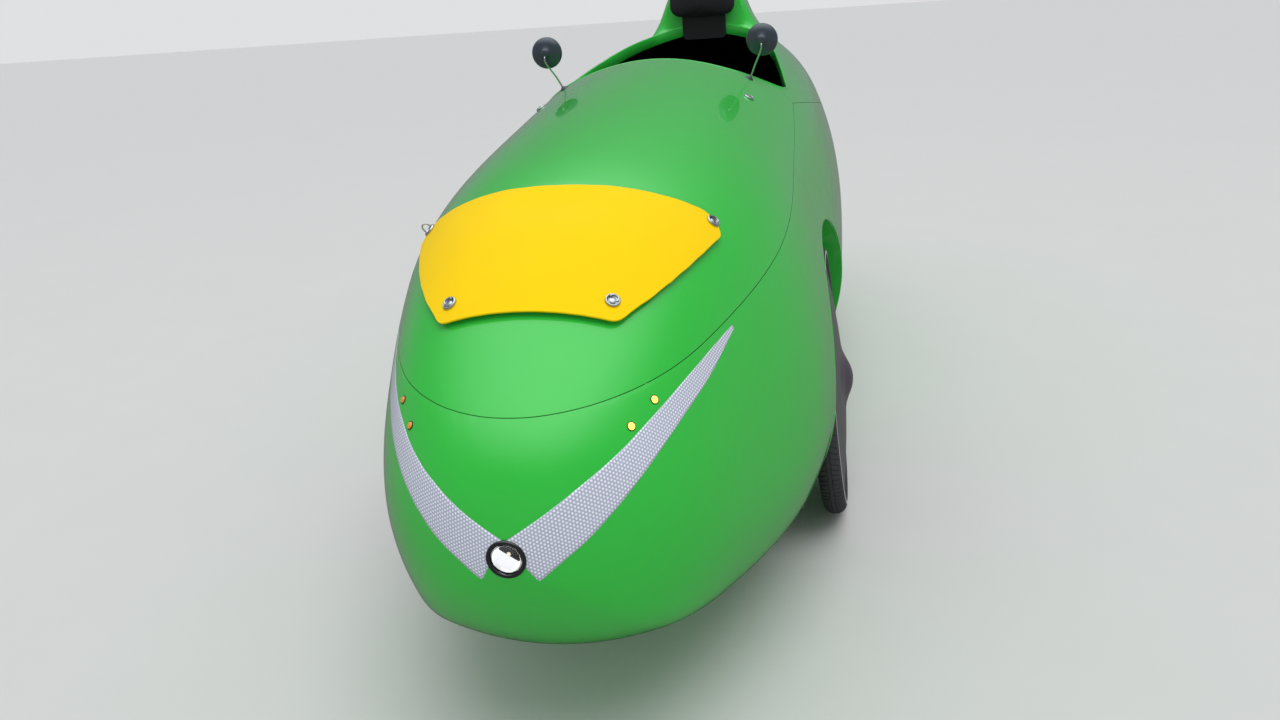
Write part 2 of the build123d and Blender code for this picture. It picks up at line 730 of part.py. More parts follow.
for side, word in SIDES:
    section, disc = hub_planes(side)
    axle = Axis(disc.origin, disc.z_dir)
    with BuildPart() as tyre:
        with BuildSketch(section):
            with Locations((0, TYRE_WIDTH / 2 - FRONT_TYRE_RADIUS)):
                Circle(TYRE_WIDTH / 2)
            with Locations((0, TYRE_WIDTH + TYRE_SEAT - FRONT_TYRE_RADIUS)):
                Rectangle(TYRE_WIDTH, 4 * TYRE_SEAT, mode=Mode.SUBTRACT)
        revolve(axis=axle)
    publish(f"tyre_{word}", tyre)
    with BuildPart() as rim:
        with BuildSketch(section):
            with BuildLine():
                Polyline(*[(x, depth - rim_top) for x, depth in RIM_PROFILE], close=True)
            make_face()
        revolve(axis=axle)
        with BuildSketch(disc.offset(-side * DRUM_INSET)):
            Circle(DRUM_RADIUS)
        extrude(amount=side * DRUM_WIDTH)
        with BuildSketch(disc.offset(side * (DRUM_WIDTH - DRUM_INSET))):
            Circle(HUB_FLANGE)
        extrude(amount=side * HUB_NECK)
        for index in range(SPOKES):
            angle = radians(360 / SPOKES * index)
            outwards = disc.x_dir * sin(angle) + section.z_dir * cos(angle)
            spoke = Plane(disc.origin, x_dir=disc.z_dir, z_dir=outwards)
            with BuildSketch(spoke.offset(DRUM_RADIUS - SPOKE_SEAT)):
                with Locations((side * SPOKE_LINES[index % 2], 0)):
                    Circle(SPOKE_RADIUS)
            extrude(amount=rim_top - RIM_DEPTH - DRUM_RADIUS + 2 * SPOKE_SEAT)
        with BuildSketch(disc.offset(-side * DRUM_RADIUS)):
            Circle(AXLE_RADIUS + AXLE_CLEARANCE)
        extrude(amount=side * 2 * DRUM_RADIUS, mode=Mode.SUBTRACT)
    publish(f"wheel_{word}", rim)
    with BuildPart() as cover:
        with BuildSketch(section):
            with BuildLine():
                front = [(side * x, -radius) for x, radius in COVER_PROFILE]
                back = [(x - side * COVER_THICK, y) for x, y in front]
                ThreePointArc(*front[:3])
                ThreePointArc(*front[2:])
                Line(front[4], back[4])
                ThreePointArc(*reversed(back[2:]))
                ThreePointArc(*reversed(back[:3]))
                Line(back[0], front[0])
            make_face()
        revolve(axis=axle)
    publish(f"wheel_cover_{word}", cover)

# Knuckles: brake plate, axle, strut and steering arm turning on the kingpin line
for side, word in SIDES:
    section, disc = hub_planes(side)
    low = Vector(side * KINGPIN_LOW[0], row(FRONT_AXLE), KINGPIN_LOW[1])
    high = Vector(side * KINGPIN_HIGH[0], row(FRONT_AXLE), KINGPIN_HIGH[1])
    pin = Plane(low, x_dir=(0, 1, 0), z_dir=high - low)
    span = (high - low).length
    arm_top = pin.offset(ARM_OFFSET)
    tip = arm_top.from_local_coords((STEER_ARM, 0, 0))
    with BuildPart() as knuckle:
        for radius, start, end in STUB:
            with BuildSketch(disc.offset(side * start)):
                Circle(radius)
            extrude(amount=side * (end - start))
        for radius, start, end in PILLAR:
            with BuildSketch(pin.offset(start)):
                Circle(radius)
            extrude(amount=end - start)
        with BuildSketch(arm_top):
            with Locations((STEER_ARM / 2, 0)):
                Rectangle(STEER_ARM, EYE_RADIUS)
            with Locations((STEER_ARM, 0)):
                Circle(EYE_RADIUS)
        extrude(amount=-EYE_HEIGHT)
        with BuildSketch(arm_top.offset(-EYE_HEIGHT / 2)):
            with Locations((STEER_ARM, 0)):
                Circle(LINK_PIN)
        extrude(amount=2.5 * EYE_HEIGHT)
    publish(f"knuckle_{word}", knuckle)
    with BuildPart() as spring_strut:
        for index in range(STRUT_RINGS):
            start = STRUT_START + index * STRUT_PITCH
            with BuildSketch(pin.offset(start)):
                Circle(STRUT_RADIUS)
            extrude(amount=STRUT_PITCH / 2, taper=STRUT_TAPER)
            with BuildSketch(pin.offset(start + STRUT_PITCH)):
                Circle(STRUT_RADIUS)
            extrude(amount=-STRUT_PITCH / 2, taper=STRUT_TAPER)
        with BuildSketch(pin.offset(STRUT_START - STRUT_PITCH)):
            Circle(STRUT_SEAT)
        extrude(amount=STRUT_PITCH + 1)
        damper_radius, damper_start, damper_end = PILLAR[-1]
        with BuildSketch(pin.offset(damper_start)):
            Circle(damper_radius + FIT)
        extrude(amount=damper_end - damper_start + FIT, mode=Mode.SUBTRACT)
        with BuildSketch(pin.offset(damper_end + FIT)):
            Circle(AXLE_RADIUS)
        extrude(amount=span - damper_end + AXLE_RADIUS)
    publish(f"strut_{word}", spring_strut)
    with BuildPart() as strut_mount:
        mount_foot = high.Z - EYE_HEIGHT
        box_roof = sqrt((ARCH_RADIUS - FIT - BOX_WALL) ** 2 - STRUT_MOUNT_RADIUS ** 2)
        with BuildSketch(Plane.XY.offset(mount_foot)):
            with Locations((high.X, high.Y)):
                Circle(STRUT_MOUNT_RADIUS)
        extrude(amount=ARCH_CENTRE[1] + box_roof - FIT - mount_foot)
        with BuildSketch(pin.offset(span - 2 * STRUT_MOUNT_RADIUS)):
            Circle(AXLE_RADIUS + AXLE_CLEARANCE)
        extrude(amount=4 * STRUT_MOUNT_RADIUS, mode=Mode.SUBTRACT)
    publish(f"strut_mount_{word}", strut_mount)
    with BuildPart() as control_arm:
        with BuildSketch(pin.offset(-EYE_RADIUS)):
            Circle(ARM_EYE_RADIUS)
        extrude(amount=2 * EYE_HEIGHT)
        for lean in (1, -1):
            foot = Vector(side * (BOX_INNER + FIT + EYE_HEIGHT), ARCH_CENTRE[0] + lean * ARM_SPREAD,
                          KINGPIN_LOW[1] + ROD_RADIUS)
            start = low + (foot - low).normalized() * ARM_RADIUS + Vector(0, 0, -2)
            with BuildSketch(Plane(start, z_dir=foot - start)):
                Circle(ARM_RADIUS)
            extrude(amount=(foot - start).length)
            with BuildSketch(Plane.YZ.offset(side * (BOX_INNER + FIT))):
                with Locations((foot.Y, foot.Z)):
                    RectangleRounded(ARM_PAD[0], ARM_PAD[1], ARM_RADIUS)
            extrude(amount=side * ARM_PAD[2])
        with BuildSketch(pin.offset(-2 * EYE_RADIUS)):
            Circle(AXLE_RADIUS + AXLE_CLEARANCE)
        extrude(amount=4 * EYE_RADIUS, mode=Mode.SUBTRACT)
    publish(f"control_arm_{word}", control_arm)
    inner = Plane((0, row(TILLER_STATION + STEER_ARM), ROD_HEIGHTS[word]))
    outer = Plane(tip, x_dir=(0, 1, 0), z_dir=pin.z_dir).offset(FIT)
    with BuildPart() as tie_rod:
        for eye in (inner, outer):
            with BuildSketch(eye):
                Circle(EYE_RADIUS)
            extrude(amount=EYE_HEIGHT)
        start = outer.offset(EYE_HEIGHT / 2).origin
        end = inner.offset(EYE_HEIGHT / 2).origin
        with BuildSketch(Plane(start, z_dir=end - start)):
            Circle(ROD_RADIUS)
        extrude(amount=(end - start).length)
        for eye in (inner, outer):
            with BuildSketch(eye.offset(-EYE_HEIGHT)):
                Circle(LINK_PIN + LINK_SLACK)
            extrude(amount=3 * EYE_HEIGHT, mode=Mode.SUBTRACT)
    publish(f"tie_rod_{word}", tie_rod)

# Tiller: floor bearing, column with drop arm, leaning stick and cross handle
floor_tiller = floor_top(TILLER_STATION)
with BuildPart() as tiller_bearing:
    with BuildSketch(Plane.XY.offset(floor_tiller - 2 * WALL)):
        with Locations((0, row(TILLER_STATION))):
            Circle(BEARING_RADIUS)
            Circle(COLUMN_RADIUS + AXLE_CLEARANCE, mode=Mode.SUBTRACT)
    extrude(amount=2 * WALL + BEARING_RADIUS)
    add(floor_room, mode=Mode.INTERSECT)
publish("tiller_bearing", tiller_bearing)

with BuildPart() as tiller:
    with BuildSketch(Plane.XY.offset(floor_tiller + COLUMN_FOOT)):
        with Locations((0, row(TILLER_STATION))):
            Circle(COLUMN_RADIUS)
    extrude(amount=COLUMN_HEIGHT)
    with BuildSketch(Plane.XY.offset(DROP_ARM_HEIGHT)):
        with Locations((0, row(TILLER_STATION + STEER_ARM / 2))):
            Rectangle(2 * EYE_HEIGHT, STEER_ARM)
        with Locations((0, row(TILLER_STATION + STEER_ARM))):
            Circle(EYE_RADIUS)
    extrude(amount=DROP_ARM_THICK)
    with BuildSketch(Plane.XY.offset(DROP_ARM_HEIGHT + DROP_ARM_THICK / 2)):
        with Locations((0, row(TILLER_STATION + STEER_ARM))):
            Circle(LINK_PIN)
    extrude(amount=DROP_PIN_TOP - DROP_ARM_HEIGHT - DROP_ARM_THICK / 2)
    stick_foot = Vector(0, row(TILLER_STATION), floor_tiller + COLUMN_HEIGHT - WALL)
    stick_top = Vector(0, row(HANDLE[0]), HANDLE[1])
    with BuildSketch(Plane(stick_foot, z_dir=stick_top - stick_foot)):
        Circle(STICK_RADIUS)
    extrude(amount=(stick_top - stick_foot).length)
    with BuildSketch(Plane.YZ.offset(-HANDLE_HALF)):
        with Locations((row(HANDLE[0]), HANDLE[1])):
            Circle(STICK_RADIUS)
    extrude(amount=2 * HANDLE_HALF)
publish("tiller", tiller)

with BuildPart() as tiller_grips:
    for side, word in SIDES:
        grip_start = HANDLE_HALF + GRIP_END - GRIP_LENGTH
        with BuildSketch(Plane.YZ.offset(side * grip_start)):
            with Locations((row(HANDLE[0]), HANDLE[1])):
                Circle(GRIP_RADIUS)
        extrude(amount=side * GRIP_LENGTH)
        with BuildSketch(Plane.YZ.offset(side * (grip_start - 1))):
            with Locations((row(HANDLE[0]), HANDLE[1])):
                Circle(STICK_RADIUS + FIT)
        extrude(amount=side * (HANDLE_HALF + FIT - grip_start + 1), mode=Mode.SUBTRACT)
publish("tiller_grips", tiller_grips)

# Cranks on a boom
with BuildPart() as boom:
    with BuildSketch(Plane.YZ.offset(-SHELL_HALF)):
        with Locations((row(CRANK_STATION), CRANK_HEIGHT)):
            Circle(SHELL_RADIUS)
    extrude(amount=2 * SHELL_HALF)
    boom_foot = Vector(0, row(BOOM_FOOT), floor_top(BOOM_FOOT) + 2 * WALL)
    boom_head = Vector(0, row(CRANK_STATION), CRANK_HEIGHT)
    with BuildSketch(Plane(boom_head, z_dir=boom_foot - boom_head)):
        Circle(BOOM_RADIUS)
    extrude(amount=(boom_foot - boom_head).length)
    with BuildSketch(Plane.XY.offset(floor_top(BOOM_FOOT) - 2 * WALL)):
        with Locations((0, row(BOOM_FOOT))):
            Rectangle(BOOM_PLATE, BOOM_PLATE)
    extrude(amount=5 * WALL)
    add(floor_room, mode=Mode.INTERSECT)
    with BuildSketch(Plane.YZ.offset(-2 * SHELL_HALF)):
        with Locations((row(CRANK_STATION), CRANK_HEIGHT)):
            Circle(SPINDLE_RADIUS + AXLE_CLEARANCE)
    extrude(amount=4 * SHELL_HALF, mode=Mode.SUBTRACT)
publish("boom", boom)

with BuildPart() as crankset:
    with BuildSketch(Plane.YZ.offset(-SPINDLE_HALF)):
        with Locations((row(CRANK_STATION), CRANK_HEIGHT)):
            Circle(SPINDLE_RADIUS)
    extrude(amount=2 * SPINDLE_HALF)
    with BuildSketch(Plane.YZ.offset(-CHAINRING_LINE)):
        with Locations((row(CRANK_STATION), CRANK_HEIGHT)):
            Circle(CHAINRING_RADIUS)
            Circle(CHAINRING_RADIUS - CHAINRING_BAND, mode=Mode.SUBTRACT)
            Rectangle(2 * CHAINRING_RADIUS - CHAINRING_BAND, CHAINRING_ARM)
            Rectangle(CHAINRING_ARM, 2 * CHAINRING_RADIUS - CHAINRING_BAND)
    extrude(amount=COVER_THICK)
    for side, word in SIDES:
        with BuildSketch(Plane.YZ.offset(side * CRANK_SPREAD)):
            with Locations((row(CRANK_STATION - side * CRANK_LENGTH / 2), CRANK_HEIGHT)):
                SlotCenterToCenter(CRANK_LENGTH, CRANK_WIDTH)
        extrude(amount=side * CRANK_THICK)
        with BuildSketch(Plane.YZ.offset(side * (CRANK_SPREAD + PEDAL_PIN))):
            with Locations((row(CRANK_STATION - side * CRANK_LENGTH), CRANK_HEIGHT)):
                Circle(PEDAL_PIN)
        extrude(amount=side * (PEDAL_START + PEDAL[2] - CRANK_SPREAD - PEDAL_PIN - FIT))
        with BuildSketch(Plane.YZ.offset(side * PEDAL_START)):
            with Locations((row(CRANK_STATION - side * CRANK_LENGTH), CRANK_HEIGHT)):
                Rectangle(PEDAL[0], PEDAL[1])
        extrude(amount=side * PEDAL[2])
publish("crankset", crankset)

# Rear wheel on its swing arm
rear_axle = Axis((0, REAR_CENTRE[0], REAR_TYRE_RADIUS), (1, 0, 0))
with BuildPart() as tyre_rear:
    with BuildSketch(Plane.XY.offset(REAR_TYRE_RADIUS)):
        with Locations((0, REAR_CENTRE[0] - REAR_TYRE_RADIUS + TYRE_WIDTH / 2)):
            Circle(TYRE_WIDTH / 2)
        with Locations((0, REAR_CENTRE[0] - REAR_TYRE_RADIUS + TYRE_WIDTH + TYRE_SEAT)):
            Rectangle(TYRE_WIDTH, 4 * TYRE_SEAT, mode=Mode.SUBTRACT)
    revolve(axis=rear_axle)
publish("tyre_rear", tyre_rear)

with BuildPart() as wheel_rear:
    rear_rim_top = REAR_TYRE_RADIUS - TYRE_WIDTH + TYRE_SEAT - FIT
    with BuildSketch(Plane.XY.offset(REAR_TYRE_RADIUS)):
        with BuildLine():
            Polyline(*[(x, REAR_CENTRE[0] - rear_rim_top + d) for x, d in RIM_PROFILE], close=True)
        make_face()
    revolve(axis=rear_axle)
    with BuildSketch(Plane.YZ.offset(-REAR_HUB_HALF)):
        with Locations(REAR_CENTRE):
            Circle(REAR_HUB_RADIUS)
    extrude(amount=2 * REAR_HUB_HALF)
    for index in range(REAR_SPOKES):
        angle = radians(360 / REAR_SPOKES * index)
        spoke = Plane(rear_axle.position, x_dir=(1, 0, 0), z_dir=(0, sin(angle), cos(angle)))
        with BuildSketch(spoke.offset(REAR_HUB_RADIUS - SPOKE_SEAT)):
            with Locations((REAR_SPOKE_LINES[index % 2], 0)):
                Circle(SPOKE_RADIUS)
        extrude(amount=rear_rim_top - RIM_DEPTH - REAR_HUB_RADIUS + 2 * SPOKE_SEAT)
    with BuildSketch(Plane.YZ.offset(-2 * REAR_HUB_HALF)):
        with Locations(REAR_CENTRE):
            Circle(AXLE_RADIUS + AXLE_CLEARANCE)
    extrude(amount=4 * REAR_HUB_HALF, mode=Mode.SUBTRACT)
publish("wheel_rear", wheel_rear)

with BuildPart() as swing_arm:
    pivot = (row(SWING_PIVOT[0]), SWING_PIVOT[1])
    run = hypot(REAR_CENTRE[0] - pivot[0], REAR_CENTRE[1] - pivot[1])
    tilt = degrees(atan2(REAR_CENTRE[1] - pivot[1], REAR_CENTRE[0] - pivot[0]))
    for side, word in SIDES:
        with BuildSketch(Plane.YZ.offset(side * SWING_HALF)):
            with Locations(((REAR_CENTRE[0] + pivot[0]) / 2, (REAR_CENTRE[1] + pivot[1]) / 2)):
                SlotCenterToCenter(run, SWING_WIDTH, rotation=tilt)
        extrude(amount=side * SWING_THICK)
    with BuildSketch(Plane.YZ.offset(-REAR_BOX_HALF + 2 * FIT + BOX_WALL)):
        with Locations(pivot):
            Circle(SWING_TUBE)
    extrude(amount=2 * (REAR_BOX_HALF - 2 * FIT - BOX_WALL))
    with BuildSketch(Plane.YZ.offset(-SWING_HALF)):
        with Locations(REAR_CENTRE):
            Circle(AXLE_RADIUS)
    extrude(amount=2 * SWING_HALF)
publish("swing_arm", swing_arm)
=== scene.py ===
import json
import math
import bmesh
import bpy
import numpy as np
from mathutils import Matrix, Vector
from mathutils.bvhtree import BVHTree


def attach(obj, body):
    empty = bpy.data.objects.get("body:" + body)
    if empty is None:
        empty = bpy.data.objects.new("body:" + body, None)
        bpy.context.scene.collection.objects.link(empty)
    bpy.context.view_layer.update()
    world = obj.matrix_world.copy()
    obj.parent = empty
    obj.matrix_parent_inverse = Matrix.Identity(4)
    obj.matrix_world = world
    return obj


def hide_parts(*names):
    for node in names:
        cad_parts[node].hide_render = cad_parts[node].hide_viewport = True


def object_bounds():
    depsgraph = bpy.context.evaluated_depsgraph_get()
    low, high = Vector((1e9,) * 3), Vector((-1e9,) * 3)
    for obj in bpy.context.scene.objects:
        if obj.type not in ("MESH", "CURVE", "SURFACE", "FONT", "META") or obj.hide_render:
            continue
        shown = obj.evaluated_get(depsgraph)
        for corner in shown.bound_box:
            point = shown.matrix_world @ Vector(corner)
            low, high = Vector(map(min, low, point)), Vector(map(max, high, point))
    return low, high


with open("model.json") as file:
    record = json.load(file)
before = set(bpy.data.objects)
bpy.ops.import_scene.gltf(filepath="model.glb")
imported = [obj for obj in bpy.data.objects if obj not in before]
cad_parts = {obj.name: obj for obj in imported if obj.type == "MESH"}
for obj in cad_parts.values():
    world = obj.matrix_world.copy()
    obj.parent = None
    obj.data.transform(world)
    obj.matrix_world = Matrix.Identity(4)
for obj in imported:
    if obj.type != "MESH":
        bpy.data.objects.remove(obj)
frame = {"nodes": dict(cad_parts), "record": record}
cad_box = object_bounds()

# Sizes, places and profiles are in millimetres, stations measured from the nose; MM turns them into metres
MM = 0.001
SIDES = ((1, "left"), (-1, "right"))
NOSE = cad_box[0][1]
WALL, WALL_BEVEL, SEAM = 5.0, 0.8, 0.6
SHARP_CAD, SHARP_RIM, SHARP_TREAD = (math.radians(angle) for angle in (32, 50, 38))


def station(distance):
    """Row-frame Y in metres of a place behind the nose."""
    return NOSE + distance * MM


def linked(name, data):
    """Object of the data, in the scene."""
    item = bpy.data.objects.new(name, data)
    bpy.context.scene.collection.objects.link(item)
    return item


def adder(tree):
    """A function that adds a node to a tree and returns one of its outputs. Settings come in small letters,
    sockets by their labels, or by place as _0, each with a value or another node's output."""
    def add(kind, output=0, **given):
        node = tree.nodes.new(kind)
        for label, value in given.items():
            if label[0].islower():
                setattr(node, label, value)
                continue
            socket = node.inputs[int(label[1:]) if label[0] == "_" else label.replace("_", " ")]
            if isinstance(value, bpy.types.NodeSocket):
                tree.links.new(value, socket)
            else:
                socket.default_value = value
        return node.outputs[output] if len(node.outputs) else node

    return add


# ---------------------------------------------------------------- Camera, light and floor
# The photograph's viewing angle; the place is in metres
CAMERA_PLACE = (0.342, station(-932), 0.928)
CAMERA_YAW, CAMERA_PITCH, CAMERA_ROLL = math.radians(-11.25), math.radians(19.13), math.radians(-4.2)
PHOTO_WIDTH, FOCAL_PIXELS, SENSOR = 1280, 1072, 36.0


def make_camera():
    ahead = Vector((math.sin(CAMERA_YAW) * math.cos(CAMERA_PITCH),
                    math.cos(CAMERA_YAW) * math.cos(CAMERA_PITCH), -math.sin(CAMERA_PITCH)))
    level = Vector((math.cos(CAMERA_YAW), -math.sin(CAMERA_YAW), 0))
    upright = level.cross(ahead)
    right = math.cos(CAMERA_ROLL) * level + math.sin(CAMERA_ROLL) * upright
    up = -math.sin(CAMERA_ROLL) * level + math.cos(CAMERA_ROLL) * upright
    camera = linked("camera", bpy.data.cameras.new("camera"))
    camera.data.sensor_width = SENSOR
    camera.data.lens = FOCAL_PIXELS * SENSOR / PHOTO_WIDTH
    camera.matrix_world = Matrix.Translation(CAMERA_PLACE) @ Matrix((right, up, -ahead)).transposed().to_4x4()
    bpy.context.scene.camera = camera


# Brightness of the surroundings in reflections over the sine of their height, its tint and its unit
REFLECTED_SKY = [(0.0, 0.11), (0.16, 0.10), (0.36, 0.07), (0.62, 0.13), (0.86, 0.85), (1.0, 1.0)]
SKY_TINT, SKY_PEAK = (0.88, 0.96, 1.0), 2.5
DIFFUSE_SKY, DIFFUSE_STRENGTH = (0.95, 0.97, 1.0, 1), 0.6
SHOWN_SKY = (0.74, 0.75, 0.76, 1)


def make_world():
    """Pale where the camera sees it, a soft even sky for the light, and a graded one for reflections."""
    world = bpy.data.worlds.new("studio")
    bpy.context.scene.world = world
    world.use_nodes = True
    tree = world.node_tree
    tree.nodes.clear()
    add = adder(tree)
    path = tree.nodes.new("ShaderNodeLightPath").outputs
    height = add("ShaderNodeSeparateXYZ", "Z", Vector=add("ShaderNodeTexCoord", "Generated"))
    sky = add("ShaderNodeValToRGB", "Color", Fac=height)
    ramp = sky.node.color_ramp
    for index, (level, shade) in enumerate(REFLECTED_SKY):
        stop = ramp.elements[index] if index < 2 else ramp.elements.new(level)
        stop.position = level
        stop.color = (*(shade * tint for tint in SKY_TINT), 1)
    ramp.interpolation = "B_SPLINE"
    mirrored_sky = add("ShaderNodeBackground", Color=sky, Strength=SKY_PEAK)
    soft = add("ShaderNodeBackground", Color=DIFFUSE_SKY, Strength=DIFFUSE_STRENGTH)
    shown = add("ShaderNodeBackground", Color=SHOWN_SKY)
    lit = add("ShaderNodeMixShader", _0=path["Is Glossy Ray"], _1=soft, _2=mirrored_sky)
    direct = add("ShaderNodeMath", operation="MAXIMUM", _0=path["Is Camera Ray"],
                 _1=path["Is Transmission Ray"])
    add("ShaderNodeOutputWorld", Surface=add("ShaderNodeMixShader", _0=direct, _1=lit, _2=shown))


FLOOR_HALF = 30
SUN_STRENGTH, SUN_SPREAD, SUN_TURN = 1.25, 40, (20, 12, 0)
SKY_BOX_PLACE, SKY_BOX_TARGET, SKY_BOX_SIZE, SKY_BOX_WATTS = (0.2, -1.0, 4.6), (0, -0.4, 0.4), (4.6, 6.0), 26
SKY_BOX_COLOUR = (1, 0.99, 0.97)


def make_stage():
    bpy.context.scene.view_settings.view_transform = "Standard"
    make_world()
    mesh = bpy.data.meshes.new("floor")
    corners = [(x * FLOOR_HALF, y * FLOOR_HALF, 0) for x, y in ((-1, -1), (1, -1), (1, 1), (-1, 1))]
    mesh.from_pydata(corners, [], [(0, 1, 2, 3)])
    mesh.materials.append(floor_material())
    linked("floor", mesh)
    daylight = linked("daylight", bpy.data.lights.new("daylight", "SUN"))
    daylight.data.energy = SUN_STRENGTH
    daylight.data.angle = math.radians(SUN_SPREAD)
    daylight.rotation_euler = [math.radians(turn) for turn in SUN_TURN]
    box = linked("sky_box", bpy.data.lights.new("sky_box", "AREA"))
    box.data.shape = "RECTANGLE"
    box.data.size, box.data.size_y = SKY_BOX_SIZE
    box.data.energy = SKY_BOX_WATTS
    box.data.color = SKY_BOX_COLOUR
    box.location = SKY_BOX_PLACE
    box.rotation_euler = (Vector(SKY_BOX_TARGET) - box.location).to_track_quat("-Z", "Y").to_euler()
    daylight.visible_glossy = box.visible_glossy = False


# ---------------------------------------------------------------- Materials
def new_material(name, colour, roughness, **sockets):
    """A material with a Principled shader, its sockets set by label; also its node adder and that shader."""
    material = bpy.data.materials.new(name)
    material.use_nodes = True
    shader = material.node_tree.nodes["Principled BSDF"]
    shader.inputs["Base Color"].default_value = (*colour, 1)
    shader.inputs["Roughness"].default_value = roughness
    for label, value in sockets.items():
        shader.inputs[label.replace("_", " ")].default_value = value
    return material, adder(material.node_tree), shader


def grain_group():
    """Shared surface unevenness on Object coordinates: an uneven colour, an uneven roughness and a height."""
    group = bpy.data.node_groups.new("surface_grain", "ShaderNodeTree")
    add = adder(group)
    for label, kind, value in (("Scale", "Float", 40.0), ("Detail", "Float", 4.0), ("Tint", "Float", 0.06),
                               ("Rough", "Float", 0.05), ("Base", "Color", (0.5, 0.5, 0.5, 1)),
                               ("Mean Roughness", "Float", 0.4)):
        socket = group.interface.new_socket(name=label, in_out="INPUT", socket_type="NodeSocket" + kind)
        socket.default_value = value
    for label, kind in (("Color", "Color"), ("Roughness", "Float"), ("Height", "Float")):
        group.interface.new_socket(name=label, in_out="OUTPUT", socket_type="NodeSocket" + kind)

    def reckon(operation, a, b):
        return add("ShaderNodeMath", operation=operation, _0=a, _1=b)

    given = group.nodes.new("NodeGroupInput").outputs
    place = add("ShaderNodeTexCoord", "Object")
    fine = add("ShaderNodeTexNoise", "Fac", Vector=place, Scale=given["Scale"], Detail=given["Detail"])
    broad = add("ShaderNodeTexNoise", "Fac", Vector=place, Scale=3.0, Detail=3.0)
    centred = reckon("SUBTRACT", reckon("ADD", fine, broad), 1.0)
    shade = reckon("ADD", reckon("MULTIPLY", centred, given["Tint"]), 1.0)
    colour = add("ShaderNodeVectorMath", operation="SCALE", _0=given["Base"], Scale=shade)
    rough = reckon("ADD", reckon("MULTIPLY", centred, given["Rough"]), given["Mean Roughness"])
    add("NodeGroupOutput", Color=colour, Roughness=rough, Height=fine)
    return group


GRAIN = grain_group()


def grained(name, colour, roughness, scale=60.0, tint=0.08, rough=0.08, bump=0.0, depth=0.0002, **sockets):
    """A material whose colour, roughness and bump come from the shared grain group."""
    material, add, shader = new_material(name, colour, roughness, **sockets)
    grain = add("ShaderNodeGroup", node_tree=GRAIN, Base=(*colour, 1), Mean_Roughness=roughness, Scale=scale,
                Tint=tint, Rough=rough).node.outputs
    links = material.node_tree.links
    links.new(grain["Color"], shader.inputs["Base Color"])
    links.new(grain["Roughness"], shader.inputs["Roughness"])
    if bump:
        relief = add("ShaderNodeBump", Strength=bump, Distance=depth, Height=grain["Height"])
        links.new(relief, shader.inputs["Normal"])
    return material


FLOOR_COLOUR, FLOOR_REFLECTED = (0.66, 0.66, 0.65), (0.19, 0.19, 0.18, 1)


def floor_material():
    """Pale floor, darker in reflections so that the paint keeps its colour low on the body."""
    material = grained("floor_pale", FLOOR_COLOUR, 0.75, scale=8, tint=0.03)
    tree = material.node_tree
    socket = tree.nodes["Principled BSDF"].inputs["Base Color"]
    add = adder(tree)
    mirrored_ray = add("ShaderNodeLightPath", "Is Glossy Ray")
    seen = add("ShaderNodeMix", "Result", data_type="RGBA", Factor=mirrored_ray,
               A=socket.links[0].from_socket, B=FLOOR_REFLECTED)
    tree.links.new(seen, socket)
    return material


# Pitch of the dots, their radius and their rim's as shares of it, and a start that keeps places positive
FILM_PITCH, FILM_DOT, FILM_RIM, FILM_START = 4.2 * MM, 0.24, 0.38, 10.0
FILM_PALE, FILM_DARK = (0.85, 0.88, 0.98, 1), (0.44, 0.46, 0.58, 1)


def reflex_film():
    """Pale retroreflective film: a honeycomb of fine dots laid out along the strip."""
    material, add, shader = new_material("reflex_film", (0.52, 0.55, 0.66), 0.34, Coat_Weight=0.6)
    cell = (FILM_PITCH, FILM_PITCH * math.sqrt(3), 1.0)
    half = tuple(size / 2 for size in cell)
    reaches = []
    for shift in (0, 1):
        start = (FILM_START + half[0] * shift, FILM_START + half[1] * shift, half[2])
        spot = add("ShaderNodeUVMap", uv_map="strip")
        for operation, value in (("ADD", start), ("MODULO", cell), ("SUBTRACT", half)):
            spot = add("ShaderNodeVectorMath", operation=operation, _0=spot, _1=value)
        reaches.append(add("ShaderNodeVectorMath", "Value", operation="LENGTH", _0=spot))
    near = add("ShaderNodeMath", operation="MINIMUM", _0=reaches[0], _1=reaches[1])
    dot = add("ShaderNodeMapRange", "Result", From_Min=FILM_PITCH * FILM_DOT, From_Max=FILM_PITCH * FILM_RIM,
              Value=near)
    colour = add("ShaderNodeMix", "Result", data_type="RGBA", Factor=dot, A=FILM_PALE, B=FILM_DARK)
    material.node_tree.links.new(colour, shader.inputs["Base Color"])
    return material


